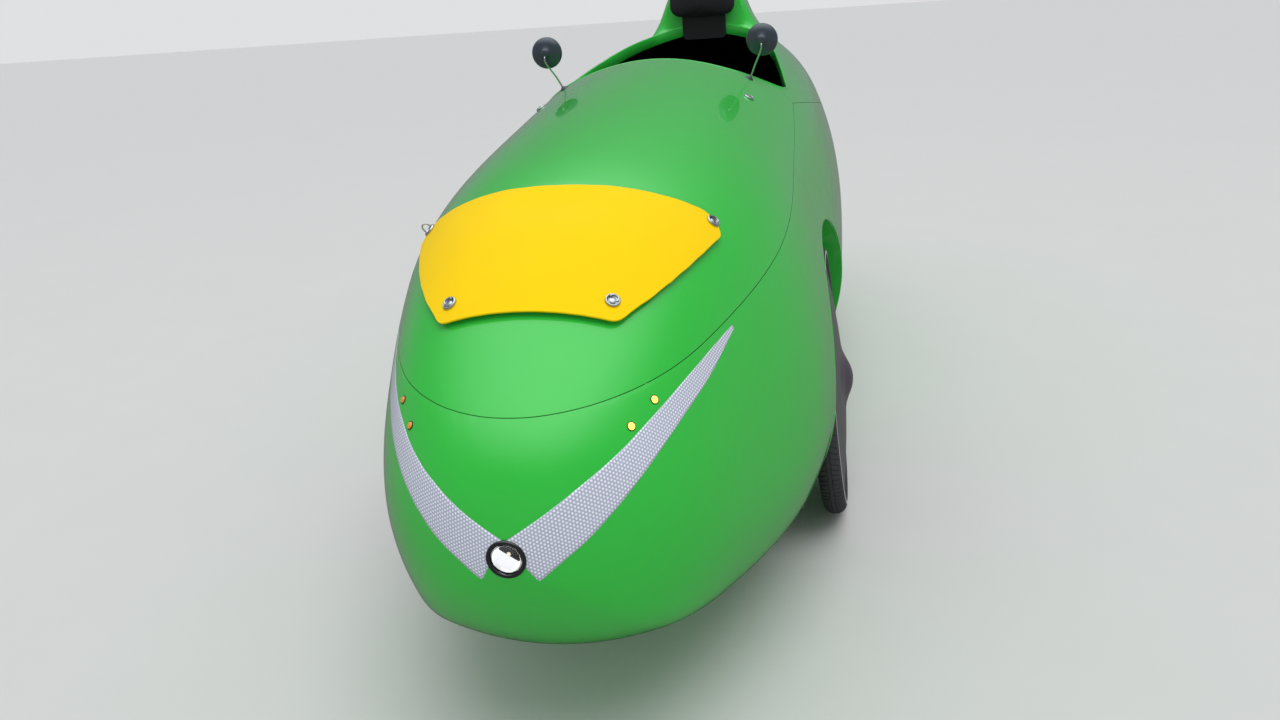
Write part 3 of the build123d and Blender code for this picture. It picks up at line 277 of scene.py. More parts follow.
METAL, GLOW = {"Metallic": 1.0}, {"Coat_Weight": 0.6, "tint": 0.1}
FINISHES = {
    "green_paint": grained("green_gelcoat", (0.030, 0.54, 0.052), 0.32, 9, 0.05, 0.05, 0.04, 0.0006,
                           Coat_Weight=1.0, Coat_Roughness=0.04, Coat_IOR=1.45, Specular_IOR_Level=0.2),
    "yellow_paint": grained("yellow_sheet", (1.0, 0.66, 0.0), 0.5, 20, 0.04, bump=0.03,
                            Specular_IOR_Level=0.15),
    "dark_liner": grained("dark_laminate", (0.030, 0.036, 0.030), 0.6, 120, 0.3, bump=0.3),
    "lamp_black": grained("lamp_black", (0.006, 0.006, 0.007), 0.14, 90, 0.1, Coat_Weight=0.6),
    "black_plastic": grained("black_plastic", (0.018, 0.018, 0.020), 0.42, 180, 0.2, bump=0.15),
    "mirror_shell": grained("mirror_shell", (0.035, 0.045, 0.062), 0.30, 90, 0.1, Coat_Weight=0.3),
    # Reflector chrome with a painted glow: its pale emission paints the bright sky reflection into the cup
    "lamp_chrome": grained("lamp_chrome", (0.95, 0.95, 0.97), 0.10, 60, 0.02, 0.02, Metallic=0.6,
                           Emission_Color=(0.95, 0.97, 1.0, 1), Emission_Strength=0.45),
    "clear_lens": grained("clear_lens", (1, 1, 1), 0.02, 60, 0.0, 0.01, Transmission_Weight=1.0, IOR=1.49),
    "amber_lens": grained("amber_lens", (0.95, 0.30, 0.02), 0.15, **GLOW),
    "amber_lit": grained("amber_lit", (1.0, 0.56, 0.07), 0.15, **GLOW, Emission_Color=(1.0, 0.56, 0.07, 1),
                         Emission_Strength=2.6),
    "led_white": grained("led_white", (1.0, 0.93, 0.72), 0.15, **GLOW, Emission_Color=(1.0, 0.93, 0.72, 1),
                         Emission_Strength=0.6),
    "red_lens": grained("red_lens", (0.60, 0.01, 0.012), 0.15, **GLOW),
    "mirror_silver": grained("mirror_silver", (0.9, 0.9, 0.92), 0.02, 60, 0.01, 0.01, **METAL),
    "edge_rubber": grained("edge_rubber", (0.016, 0.016, 0.017), 0.6, 200, 0.25, bump=0.2),
    "pad_fabric": grained("pad_fabric", (0.014, 0.014, 0.016), 0.85, 900, 0.4, bump=0.6),
    "carbon": grained("carbon_laminate", (0.02, 0.02, 0.022), 0.3, 300, 0.4, bump=0.1, Coat_Weight=0.6),
    "alloy": grained("machined_alloy", (0.62, 0.63, 0.65), 0.32, 150, 0.1, bump=0.1, **METAL),
    "steel_part": grained("zinc_steel", (0.56, 0.57, 0.58), 0.35, 120, 0.12, bump=0.1, **METAL),
    "black_alloy": grained("black_anodised", (0.03, 0.03, 0.033), 0.38, 140, 0.15, bump=0.1, Metallic=0.6),
    "wheel_disc": grained("wheel_disc", (0.056, 0.038, 0.062), 0.32, 30, 0.12, bump=0.05, Coat_Weight=0.25),
    "tyre_rubber": grained("tyre_rubber", (0.040, 0.040, 0.044), 0.75, 220, 0.25, bump=0.3),
    "reflex_ring": grained("reflex_ring", (0.55, 0.56, 0.58), 0.45, 400, 0.15),
    "reflex_film": reflex_film(),
    "grip_foam": grained("grip_foam", (0.022, 0.022, 0.023), 0.9, 700, 0.4, bump=0.6),
}


def shade_smooth(mesh):
    mesh.polygons.foreach_set("use_smooth", [True] * len(mesh.polygons))
    return mesh


def finish_cad_nodes():
    for part in frame["record"]["subparts"]:
        mesh = shade_smooth(frame["nodes"][part["node"]].data)
        mesh.materials.clear()
        mesh.materials.append(FINISHES[part["material_slot"]])
        mesh.set_sharp_from_angle(angle=SHARP_CAD)


# ---------------------------------------------------------------- Outlines and the rules that cut the panels
def arc_corner(before, here, after, rounding, steps):
    """Places on the arc of a given radius that rounds a corner."""
    a, b = (before - here).normalized(), (after - here).normalized()
    half = a.angle(b) / 2
    centre = here + (a + b).normalized() * rounding / math.sin(half)
    first, last = (here + way * rounding / math.tan(half) - centre for way in (a, b))
    turn = first.angle_signed(last)
    return [centre + first @ Matrix.Rotation(turn * step / steps, 2) for step in range(steps + 1)]


def rounded(corners, steps=8):
    """Closed outline through corners given as (x, y, rounding), each turned into an arc."""
    outline = []
    for index, (x, y, rounding) in enumerate(corners):
        before, after = corners[index - 1], corners[(index + 1) % len(corners)]
        outline += arc_corner(Vector(before[:2]), Vector((x, y)), Vector(after[:2]), rounding, steps)
    return np.array(outline)


def outline_distance(points, outline):
    """Distance of each (x, y) from a closed outline, negative inside."""
    here, start = points[:, None, :], outline[None]
    run = np.roll(outline, -1, axis=0)[None] - start
    along = np.clip(((here - start) * run).sum(-1) / (run ** 2).sum(-1), 0, 1)
    gap = np.linalg.norm(here - start - along[..., None] * run, axis=-1).min(1)
    reach = start[..., 0] + run[..., 0] * (here[..., 1] - start[..., 1]) / (run[..., 1] + 1e-12)
    spans = (start[..., 1] > here[..., 1]) != (start[..., 1] + run[..., 1] > here[..., 1])
    return np.where((spans & (here[..., 0] < reach)).sum(1) % 2 == 1, -gap, gap)


def mirrored(half):
    """Both sides of an outline given by its left corners as (half width, station, rounding)."""
    left = [(x * MM, station(s), r * MM) for x, s, r in half]
    return left + [(-x, y, r) for x, y, r in reversed(left)]


def circle_through(a, b, c):
    """Centre and radius of the circle through three points."""
    d = 2 * (a[0] * (b[1] - c[1]) + b[0] * (c[1] - a[1]) + c[0] * (a[1] - b[1]))
    squares = [p[0] ** 2 + p[1] ** 2 for p in (a, b, c)]
    x = (squares[0] * (b[1] - c[1]) + squares[1] * (c[1] - a[1]) + squares[2] * (a[1] - b[1])) / d
    y = (squares[0] * (c[0] - b[0]) + squares[1] * (a[0] - c[0]) + squares[2] * (b[0] - a[0])) / d
    return x, y, math.hypot(a[0] - x, a[1] - y)


# Panel edges, from the part's driving dimensions
BELT_NOSE, BELT_WHEEL, BELT_COCKPIT, BELT_TAIL = (-60, 501), (462, 569), (1206, 697), (2900, 505)
COCKPIT = [(262, 1128, 150), (200, 1640, 400), (124, 1972, 80)]
HATCH_HOLE = [(80, 205, 24), (150, 345, 24)]
FRONT_AXLE, FRONT_TYRE_RADIUS, ARCH_RADIUS, ARCH_INNER = 904, 243, 285, 201.7
REAR_AXLE, REAR_TYRE_RADIUS, SLOT_RADIUS, SLOT_HALF = 2134, 319.5, 375, 88
BOX_WALL, BOX_GAP = 3, 0.3
LAMP_HEIGHT, LAMP_HOLE, LAMP_SEAT = 380, 19, 60
UPPER_HALF, JOINT_DROP = 550, 20


def belt_rule(co):
    """Height over the belt line, an arc to the cockpit and a straight line on to the tail."""
    s = (co[:, 1] - NOSE) / MM
    x, z, radius = circle_through(BELT_NOSE, BELT_WHEEL, BELT_COCKPIT)
    side = 1 if BELT_NOSE[1] > z else -1
    arc = z + side * np.sqrt(np.maximum(radius ** 2 - (s - x) ** 2, 0))
    slope = (BELT_TAIL[1] - BELT_COCKPIT[1]) / (BELT_TAIL[0] - BELT_COCKPIT[0])
    line = BELT_COCKPIT[1] + slope * (s - BELT_COCKPIT[0])
    return co[:, 2] - np.where(s < BELT_COCKPIT[0], arc, line) * MM


def bonnet_rule(co):
    """Distance behind the joint of bonnet and rear deck, only from just under the belt line up."""
    return np.where(belt_rule(co) > -JOINT_DROP * MM, co[:, 1] - station(BELT_COCKPIT[0]), -1.0)


def plan_rule(outline):
    """Rule of an outline seen from above, on the upper half of the body."""
    return lambda co: np.maximum(outline_distance(co[:, :2], outline), UPPER_HALF * MM - co[:, 2])


def side_rule(axle, height, radius, limit, way):
    """Rule of a circle round an axle seen from the side, inside (1) or outside (-1) a limit across."""
    def rule(co):
        reach = np.hypot(co[:, 1] - station(axle), co[:, 2] - height * MM)
        return np.maximum(reach - radius * MM, way * (np.abs(co[:, 0]) - limit * MM))

    return rule


def lamp_reach(co, radius):
    """Distance outside a circle round the headlamp's axis."""
    return np.hypot(co[:, 0], co[:, 2] - LAMP_HEIGHT * MM) - radius * MM


OPENINGS = (plan_rule(rounded(mirrored(COCKPIT))), plan_rule(rounded(mirrored(HATCH_HOLE))),
            side_rule(FRONT_AXLE, FRONT_TYRE_RADIUS, ARCH_RADIUS, ARCH_INNER, -1),
            side_rule(REAR_AXLE, REAR_TYRE_RADIUS, SLOT_RADIUS, SLOT_HALF, 1),
            lambda co: np.maximum(lamp_reach(co, LAMP_HOLE), co[:, 1] - station(LAMP_SEAT)))


# ---------------------------------------------------------------- Making pieces
def ringed(rings, closed=False, capped=False):
    """Bmesh of faces between neighbouring rings of places, fans where a ring is one place. Closed joins
    the last ring to the first, capped fills the first and the last."""
    bm = bmesh.new()
    rings = [[bm.verts.new(place) for place in ring] for ring in rings]
    for ring, after in zip(rings, rings[1:] + rings[:1] * closed):
        count = max(len(ring), len(after))
        for index in range(count if count > 1 else 0):
            beside = (index + 1) % count
            corners = (ring[index % len(ring)], ring[beside % len(ring)], after[beside % len(after)],
                       after[index % len(after)])
            bm.faces.new(list(dict.fromkeys(corners)))
    if capped:
        bm.faces.new(rings[0])
        bm.faces.new(rings[-1])
    bmesh.ops.recalc_face_normals(bm, faces=bm.faces)
    return bm


def from_bmesh(name, bm):
    mesh = bpy.data.meshes.new(name)
    bm.to_mesh(mesh)
    bm.free()
    return linked(name, shade_smooth(mesh))


def dress(piece, body, slot, *nodes, finish=None):
    """Paint a piece, let it ride on its body and stand for the CAD nodes that it replaces."""
    if not piece.data.materials:
        piece.data.materials.append(FINISHES[finish or slot])
    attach(piece, body)
    if nodes:
        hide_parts(*nodes)


def thicken(piece, thickness, bevel=0.0, offset=-1.0, inner=0, segments=2):
    """Give a sheet its wall and round its edges; inner is the material slot of its inside and rim."""
    wall = piece.modifiers.new("wall", "SOLIDIFY")
    wall.thickness = thickness
    wall.offset = offset
    wall.use_even_offset = True
    wall.material_offset = wall.material_offset_rim = inner
    if bevel:
        soften(piece, bevel, segments)


def soften(piece, width, segments=2, angle=40):
    edge = piece.modifiers.new("edge", "BEVEL")
    edge.width = width
    edge.segments = segments
    edge.limit_method = "ANGLE"
    edge.angle_limit = math.radians(angle)
    edge.harden_normals = True


def plain_mesh(piece):
    """Mesh of a piece with its modifiers applied; the piece goes."""
    depsgraph = bpy.context.evaluated_depsgraph_get()
    mesh = bpy.data.meshes.new_from_object(piece.evaluated_get(depsgraph))
    bpy.data.objects.remove(piece)
    return mesh


def applied(piece, name):
    """Plain mesh object of a piece with its modifiers applied."""
    mesh = plain_mesh(piece)
    mesh.name = name
    return linked(name, shade_smooth(mesh))


def join(name, *pieces):
    """One object of several of one finish, modifiers applied."""
    bm = bmesh.new()
    for piece in pieces:
        mesh = plain_mesh(piece)
        finish = mesh.materials[0] if mesh.materials else None
        bm.from_mesh(mesh)
    whole = from_bmesh(name, bm)
    if finish:
        whole.data.materials.append(finish)
    return whole


def ring_at(radius, height, turns, place=Matrix.Identity(4)):
    """Spots on a circle about the place's Z axis."""
    return [place @ (Vector((radius * math.cos(turn), radius * math.sin(turn), height)) * MM)
            for turn in turns]


def lathe(name, profile, place=Matrix.Identity(4), steps=64, closed=False):
    """Turn a profile of (radius, height) about the place's Z axis."""
    turns = [2 * math.pi * step / steps for step in range(steps)]
    rings = [ring_at(radius, height, turns if radius else turns[:1], place) for radius, height in profile]
    return from_bmesh(name, ringed(rings, closed))


def geometry_tree(name, *inputs):
    """Empty geometry node tree with named inputs; returns it, its inputs and its node adder."""
    tree = bpy.data.node_groups.new(name, "GeometryNodeTree")
    tree.interface.new_socket(name="Geometry", in_out="OUTPUT", socket_type="NodeSocketGeometry")
    for label, kind in (("Geometry", "Geometry"), *inputs, ("Finish", "Material")):
        tree.interface.new_socket(name=label, in_out="INPUT", socket_type=f"NodeSocket{kind}")
    return tree, tree.nodes.new("NodeGroupInput").outputs, adder(tree)


def end_tree(tree, given, add, geometry):
    """Close a tree with real geometry in its finish."""
    real = add("GeometryNodeRealizeInstances", Geometry=geometry)
    add("NodeGroupOutput", Geometry=add("GeometryNodeSetMaterial", Geometry=real, Material=given["Finish"]))
    return tree


def bar_tree():
    """Round bar along a line of edges."""
    tree, given, add = geometry_tree("round_bar", ("Radius", "Float"), ("Sides", "Int"))
    path = add("GeometryNodeMeshToCurve", Mesh=given["Geometry"])
    ring = add("GeometryNodeCurvePrimitiveCircle", Resolution=given["Sides"], Radius=given["Radius"])
    bar = add("GeometryNodeCurveToMesh", Curve=path, Profile_Curve=ring, Fill_Caps=True)
    return end_tree(tree, given, add, bar)


def ring_tree():
    """Copies of one piece turned about the Z axis, step by step, and welded where they meet."""
    tree, given, add = geometry_tree("turned_copies", ("Count", "Int"), ("Step", "Float"), ("Weld", "Float"))
    turn = add("ShaderNodeMath", operation="MULTIPLY", _0=add("GeometryNodeInputIndex"), _1=given["Step"])
    turned = add("FunctionNodeEulerToRotation", Euler=add("ShaderNodeCombineXYZ", Z=turn))
    copies = add("GeometryNodeInstanceOnPoints", Points=add("GeometryNodePoints", Count=given["Count"]),
                 Instance=given["Geometry"], Rotation=turned)
    real = add("GeometryNodeRealizeInstances", Geometry=copies)
    welded = add("GeometryNodeMergeByDistance", Geometry=real, Distance=given["Weld"])
    return end_tree(tree, given, add, welded)


def seat_tree():
    """One part placed on every point of a mesh, turned as the points' own attribute says."""
    tree, given, add = geometry_tree("seated_copies", ("Part", "Object"), ("Size", "Float"))
    part = add("GeometryNodeObjectInfo", "Geometry", Object=given["Part"])
    turn = add("GeometryNodeInputNamedAttribute", "Attribute", data_type="FLOAT_VECTOR", Name="turn")
    copies = add("GeometryNodeInstanceOnPoints", Points=given["Geometry"], Instance=part,
                 Rotation=add("FunctionNodeEulerToRotation", Euler=turn), Scale=given["Size"])
    return end_tree(tree, given, add, copies)


BAR, RING, SEATED = bar_tree(), ring_tree(), seat_tree()
EASE_ROUNDS, EASE_SHARES = 3, (0.25, 0.75)


def grow(name, seed, tree, finish, place=None, **sizes):
    """Run a geometry tree on a mesh and keep the result as a plain object at the place."""
    piece = linked(name, seed)
    growth = piece.modifiers.new(tree.name, "NODES")
    growth.node_group = tree
    for item in tree.interface.items_tree:
        if item.in_out == "INPUT" and item.name != "Geometry":
            growth[item.identifier] = FINISHES[finish] if item.name == "Finish" else sizes[item.name]
    mesh = plain_mesh(piece)
    if place is not None:
        mesh.transform(place)
    bm = bmesh.new()
    bm.from_mesh(mesh)
    for face in bm.faces:
        face.material_index = 0
    bmesh.ops.recalc_face_normals(bm, faces=bm.faces)
    piece = from_bmesh(name, bm)
    piece.data.materials.append(FINISHES[finish])
    return piece


def tube(name, points, radius, finish, closed=False, sides=12, smooth=True):
    """Round bar along the points, its corners cut into a soft line."""
    for step in range(EASE_ROUNDS if smooth else 0):
        pairs = zip(points, points[1:] + points[:1] * closed)
        eased = [a.lerp(b, share) for a, b in pairs for share in EASE_SHARES]
        points = eased if closed else [points[0]] + eased[1:-1] + [points[-1]]
    seed = bpy.data.meshes.new(name)
    count = len(points)
    seed.from_pydata(points, [(i, (i + 1) % count) for i in range(count if closed else count - 1)], [])
    return grow(name, seed, BAR, finish, Radius=radius * MM, Sides=sides)


def around(name, part, count, step, finish, place, weld=0.0):
    """Copies of a part turned about the place's Z axis."""
    seed = part.data
    bpy.data.objects.remove(part)
    return grow(name, seed, RING, finish, place, Count=count, Step=step, Weld=weld)


def seated(name, part, places, finish):
    """One copy of a part on each place."""
    seed = bpy.data.meshes.new(name)
    seed.from_pydata([place.translation for place in places], [], [])
    turn = seed.attributes.new("turn", "FLOAT_VECTOR", "POINT")
    for index, place in enumerate(places):
        turn.data[index].vector = place.to_euler()
    copies = grow(name, seed, SEATED, finish, Part=part, Size=1.0)
    bpy.data.objects.remove(part)
    return copies


def place_on(spot, up, ahead=(0, 1, 0)):
    """Frame with its origin at the spot, Z along up and Y towards ahead."""
    z = Vector(up).normalized()
    x = Vector(ahead).cross(z).normalized()
    return Matrix.Translation(spot) @ Matrix((x, z.cross(x), z)).transposed().to_4x4()


# ---------------------------------------------------------------- One smooth skin over the CAD panels
# Rays fan out from an axis; leans in degrees, the rows' step and the rays' reach in metres
NOSE_FAN, TAIL_FAN = 420, 2440
AXIS_NOSE, AXIS_TAIL = 380 * MM, 480 * MM
FIRST_LEAN, FAN_SPAN, FAN_ROWS = 2, 88, 46
AROUND, ROW_STEP, FAR = 240, 0.010, 1.2
OUTWARD = 0.2
FILL_RINGS, FILL_ROUNDS = 3, 900
# Taubin smoothing, and the sharp front of the fairing: its half width and its length in metres, faded out
SMOOTHING, SMOOTH_SHARES = 60, (0.5, -0.53)
FAIRING_FRONT, FAIRING_FOOT, FAIRING_ROWS, FAIRING_SPREAD = 1974, 0.5, 10, 0.45
FAIRING_HALF, FAIRING_FADE = (0.075, 0.120), (0.030, 0.080)


def skin_rays():
    """Origins and directions of the rows of rays that sample the body, from nose to tail."""
    first, last = station(NOSE_FAN), station(TAIL_FAN)
    count = round((last - first) / ROW_STEP)
    rows = [(first, AXIS_NOSE, FIRST_LEAN + FAN_SPAN * index / FAN_ROWS) for index in range(FAN_ROWS)]
    for index in range(count + 1):
        share = index / count
        rows.append((first + (last - first) * share, AXIS_NOSE + (AXIS_TAIL - AXIS_NOSE) * share, 90))
    rows += [(last, AXIS_TAIL, 90 + FAN_SPAN * (index + 1) / FAN_ROWS) for index in range(FAN_ROWS)]
    turns = np.arange(AROUND) * 2 * math.pi / AROUND
    leans = np.radians([lean for y, z, lean in rows])[:, None]
    across = np.sin(leans)
    ways = np.stack([across * np.sin(turns), -np.cos(leans) + 0 * turns, across * np.cos(turns)], axis=-1)
    return np.array([(0, y, z) for y, z, lean in rows]), ways


def cad_tree(*nodes):
    corners, faces = [], []
    for name in nodes:
        mesh = frame["nodes"][name].data
        base = len(corners)
        corners += [v.co.copy() for v in mesh.vertices]
        faces += [[base + index for index in polygon.vertices] for polygon in mesh.polygons]
    return BVHTree.FromPolygons(corners, faces)


def around_grid(values):
    """Mean of the four neighbours of every grid cell, closed round the body and ending at nose and tail."""
    up = np.concatenate([values[:1], values[:-1]])
    down = np.concatenate([values[1:], values[-1:]])
    return (up + down + np.roll(values, 1, axis=1) + np.roll(values, -1, axis=1)) / 4


def shifted(values, step, axis):
    """The grid moved by a step: round the body, or along it with nose and tail rows repeated."""
    if axis == 1:
        return np.roll(values, step, axis=1)
    return np.pad(values, ((2, 2), (0, 0)), mode="edge")[2 - step:len(values) + 2 - step]


def fill_openings(reach):
    """Carry the sampled distances on across the openings, first in line with the skin beside them."""
    known = ~np.isnan(reach)
    filled = np.where(known, reach, 0.0)
    for ring in range(FILL_RINGS):
        total, votes = np.zeros_like(filled), np.zeros_like(filled)
        for axis, step in ((0, 1), (0, -1), (1, 1), (1, -1)):
            near, far = shifted(filled, step, axis), shifted(filled, 2 * step, axis)
            both = shifted(known, step, axis) & shifted(known, 2 * step, axis)
            total += np.where(both, 2 * near - far, 0.0)
            votes += both
        fresh = ~known & (votes > 0)
        filled[fresh] = (total / np.maximum(votes, 1))[fresh]
        known = known | fresh
    filled[~known] = filled[known].mean()
    for step in range(FILL_ROUNDS):
        filled = np.where(known, filled, around_grid(filled))
    return filled


def fade(value, near, far):
    """One up to near, nothing from far on, smooth between."""
    t = np.clip((value - near) / (far - near), 0, 1)
    return 1 - t * t * (3 - 2 * t)


def smooth_skin():
    """Grid of points on one closed smooth skin that follows the CAD hull, bonnet and rear deck."""
    tree = cad_tree("hull", "bonnet", "rear_deck")
    origins, ways = skin_rays()
    reach = np.full(ways.shape[:2], np.nan)
    for row, column in np.ndindex(reach.shape):
        way = Vector(ways[row, column])
        spot, normal, face, distance = tree.ray_cast(Vector(origins[row]) + way * FAR, -way, FAR)
        if spot is not None and normal.dot(way) > OUTWARD:
            reach[row, column] = FAR - distance
    other = np.roll(reach[:, ::-1], 1, axis=1)
    reach = np.where(np.isnan(reach), other, np.where(np.isnan(other), reach, (reach + other) / 2))
    ahead = (origins[:, 1] < station(FAIRING_FRONT))[:, None]
    over = (ways[..., 2] > 0) & (np.abs(ways[..., 0]) < FAIRING_SPREAD)
    deck = fill_openings(np.where(over & ~ahead, np.nan, reach))
    sampled = origins[:, None, :] + ways * np.where(ahead, deck, fill_openings(reach))[..., None]
    grid = sampled
    for step in range(SMOOTHING):
        for share in SMOOTH_SHARES:
            grid = grid + share * (around_grid(grid) - grid)
    away = np.abs(origins[:, 1] - station(FAIRING_FRONT))[:, None]
    sharp = fade(np.abs(sampled[..., 0]), *FAIRING_HALF) * fade(away, *FAIRING_FADE)
    sharp = sharp * (sampled[..., 2] > UPPER_HALF * MM)
    grid = grid + sharp[..., None] * (sampled - grid)
    first = int(ahead.sum())
    foot = station(FAIRING_FRONT - FAIRING_FOOT)
    grid[first - 1, :, 1] += sharp[first - 1] * (foot - grid[first - 1, :, 1])
    rise = np.linspace(0, 1, FAIRING_ROWS + 2)[1:-1, None, None]
    wall = grid[first - 1] + rise * (grid[first] - grid[first - 1])
    return np.concatenate([grid[:first], wall, grid[first:]])


def cut(bm, rule, snap=0.25):
    """Split the mesh where the rule is zero; a vertex within a small share of an edge moves onto the line."""
    bm.verts.index_update()
    value = rule(np.array([v.co for v in bm.verts]))
    crossing = [e for e in bm.edges if value[e.verts[0].index] * value[e.verts[1].index] < 0]
    zero = set()
    for edge in crossing:
        a, b = edge.verts
        share = value[a.index] / (value[a.index] - value[b.index])
        for near, far, part in ((a, b, share), (b, a, 1 - share)):
            if part < snap and near not in zero and far not in zero:
                near.co = near.co.lerp(far.co, part)
                zero.add(near)
                break
    for edge in crossing:
        a, b = edge.verts
        if a not in zero and b not in zero:
            share = value[a.index] / (value[a.index] - value[b.index])
            zero.add(bmesh.utils.edge_split(edge, a, share)[1])
    for face in {f for v in zero for f in v.link_faces}:
        split_face(face, zero)


def split_face(face, zero):
    """Split a face between two of its zero vertices that have others on both sides of them."""
    ring = [loop.vert for loop in face.loops]
    on = [index for index, vert in enumerate(ring) if vert in zero]
    for place, i in enumerate(on):
        for j in on[place + 1:]:
            between, rest = ring[i + 1:j], ring[j + 1:] + ring[:i]
            if between and rest and not any(vert in zero for vert in between):
                bmesh.utils.face_split(face, ring[i], ring[j])
                return


def face_values(bm, rule):
    return rule(np.array([f.calc_center_median() for f in bm.faces]))


def drop_faces(bm, gone):
    bmesh.ops.delete(bm, geom=[face for face, drop in zip(bm.faces, gone) if drop], context="FACES")
    return bm


# ---------------------------------------------------------------- Body
GRID = smooth_skin()
SKIN = BVHTree.FromBMesh(ringed(GRID, capped=True))
LIP_RADIUS, LIP_SINK, LIP_STEPS, LIP_START, LIP_SPAN = 3.5, 0.8, 120, -62, 304
EDGE_REACH = 2e-5


def on_skin(x, y, z):
    """Nearest spot on the body's skin and its outward normal, from half width, station and height."""
    return SKIN.find_nearest(Vector((x * MM, station(y), z * MM)))[:2]


def pull_edge(piece, rule, shift):
    """Move the vertices on a panel's edge, to open the seam there."""
    vertices = piece.data.vertices
    for index in np.nonzero(np.abs(rule(np.array([v.co for v in vertices]))) < EDGE_REACH)[0]:
        vertices[index].co += Vector(shift) * MM


def make_body():
    bm = ringed(GRID, capped=True)
    for rule in (belt_rule, bonnet_rule) + OPENINGS:
        cut(bm, rule)
    gone = np.min([face_values(bm, rule) for rule in OPENINGS], axis=0) < 0
    over, behind = face_values(bm, belt_rule) > 0, face_values(bm, bonnet_rule) > 0
    areas = {"hull": ~over, "bonnet": over & ~behind, "rear_deck": over & behind}
    seams = {"hull": (belt_rule, (0, 0, -SEAM)), "rear_deck": (bonnet_rule, (0, SEAM, 0))}
    for name, area in areas.items():
        panel = from_bmesh(name + "_panel", drop_faces(bm.copy(), gone | ~area))
        if name in seams:
            pull_edge(panel, *seams[name])
        for finish in ("green_paint", "dark_liner"):
            panel.data.materials.append(FINISHES[finish])
        thicken(panel, WALL * MM, WALL_BEVEL * MM, inner=1)
        dress(panel, "body", "green_paint", name)
    bm.free()


def line_wheel_boxes():
    """Bare laminate on the cockpit side of the wheel boxes, paint on the wheel's side."""
    middle = BOX_GAP + BOX_WALL / 2
    for side, word in SIDES:
        mesh = frame["nodes"][f"wheel_box_{word}"].data
        mesh.materials.append(FINISHES["dark_liner"])
        for polygon in mesh.polygons:
            x, y, z = polygon.center
            reach = math.hypot(y - station(FRONT_AXLE), z - FRONT_TYRE_RADIUS * MM)
            if reach > (ARCH_RADIUS - middle) * MM or abs(x) < (ARCH_INNER + middle) * MM:
                polygon.material_index = 1


def make_arch_lips():
    """Rolled edge of each front wheel arch, on the skin along the arch circle."""
    for side, word in SIDES:
        ring = []
        for step in range(LIP_STEPS + 1):
            turn = math.radians(LIP_START + LIP_SPAN * step / LIP_STEPS)
            y = station(FRONT_AXLE + ARCH_RADIUS * math.cos(turn))
            z = (FRONT_TYRE_RADIUS + ARCH_RADIUS * math.sin(turn)) * MM
            spot, normal, face, distance = SKIN.ray_cast(Vector((side * FAR, y, z)), Vector((-side, 0, 0)))
            if spot is not None:
                ring.append(spot - normal * LIP_RADIUS * MM * LIP_SINK)
        lip = tube(f"arch_lip_{word}", ring, LIP_RADIUS, "green_paint", smooth=False)
        dress(lip, "body", "green_paint")


# ---------------------------------------------------------------- Stripes
# Edges of the left stripe from the lamp to its tip, as half width, station and height
STRIPE_UPPER = [(1, 1, 401), (33, 8, 421), (70, 29, 445), (112, 70, 471), (141, 114, 492), (171, 174, 513),
                (200, 250, 530), (216, 298, 538)]
STRIPE_LOWER = [(31, 8, 352), (55, 12, 371), (82, 24, 392), (113, 50, 421), (142, 88, 450), (168, 140, 477),
                (195, 215, 503), (218, 298, 533)]
STRIPE_LIFT, STRIPE_LAP, STRIPE_ROWS, STRIPE_COLUMNS = 0.25, 1, 120, 14


def along(points, count):
    """Evenly spaced places on a smooth line through the points."""
    points = np.array(points, float)
    reach = np.concatenate([[0], np.cumsum(np.linalg.norm(np.diff(points, axis=0), axis=1))])
    slopes = np.gradient(points, reach, axis=0)
    places = []
    for value in np.linspace(0, reach[-1], count):
        index = min(np.searchsorted(reach, value, side="right") - 1, len(points) - 2)
        span = reach[index + 1] - reach[index]
        t = (value - reach[index]) / span
        a, b = points[index], points[index + 1]
        places.append((2 * t ** 3 - 3 * t ** 2 + 1) * a + (t ** 3 - 2 * t ** 2 + t) * span * slopes[index]
                      + (3 * t ** 2 - 2 * t ** 3) * b + (t ** 3 - t ** 2) * span * slopes[index + 1])
    return np.array(places)


def strip_rule(co):
    """Distance outside the strips' hole round the headlamp."""
    return lamp_reach(co, LAMP_HOLE - STRIPE_LAP)


def make_stripes():
    """Reflecting strips laid on the nose, with their length and width in metres as the UV map."""
    upper, lower = along(STRIPE_UPPER, STRIPE_ROWS), along(STRIPE_LOWER, STRIPE_ROWS)
    steps = np.linalg.norm(np.diff((upper + lower) / 2, axis=0), axis=1) * MM
    lengths = np.concatenate([[0], np.cumsum(steps)])
    widths = np.linalg.norm(upper - lower, axis=1) * MM
    for side, word in SIDES:
        bm = bmesh.new()
        layer = bm.loops.layers.uv.new("strip")
        grid, marks = [], {}
        for high, low, length, width in zip(upper, lower, lengths, widths):
            grid.append([])
            for share in np.arange(STRIPE_COLUMNS + 1) / STRIPE_COLUMNS:
                x, y, z = high * (1 - share) + low * share
                spot, normal = on_skin(side * x, y, z)
                vert = bm.verts.new(spot + normal * STRIPE_LIFT * MM)
                marks[vert] = (length, (share - 0.5) * width)
                grid[-1].append(vert)
        for line, after in zip(grid, grid[1:]):
            for a, b, c, d in zip(line, after, after[1:], line[1:]):
                face = bm.faces.new((a, *(b, c, d)[::-side]))
                for loop in face.loops:
                    loop[layer].uv = marks[loop.vert]
        cut(bm, strip_rule)
        strip = from_bmesh(f"reflex_strip_{word}", drop_faces(bm, face_values(bm, strip_rule) < 0))
        thicken(strip, STRIPE_LIFT * MM)
        dress(strip, "body", "mirror_silver", finish="reflex_film")


# ---------------------------------------------------------------- Hatch plate
PLATE_FRONT, PLATE_REAR, PLATE_REAR_MIDDLE = (100, 167, 22), (202, 412, 18), 350
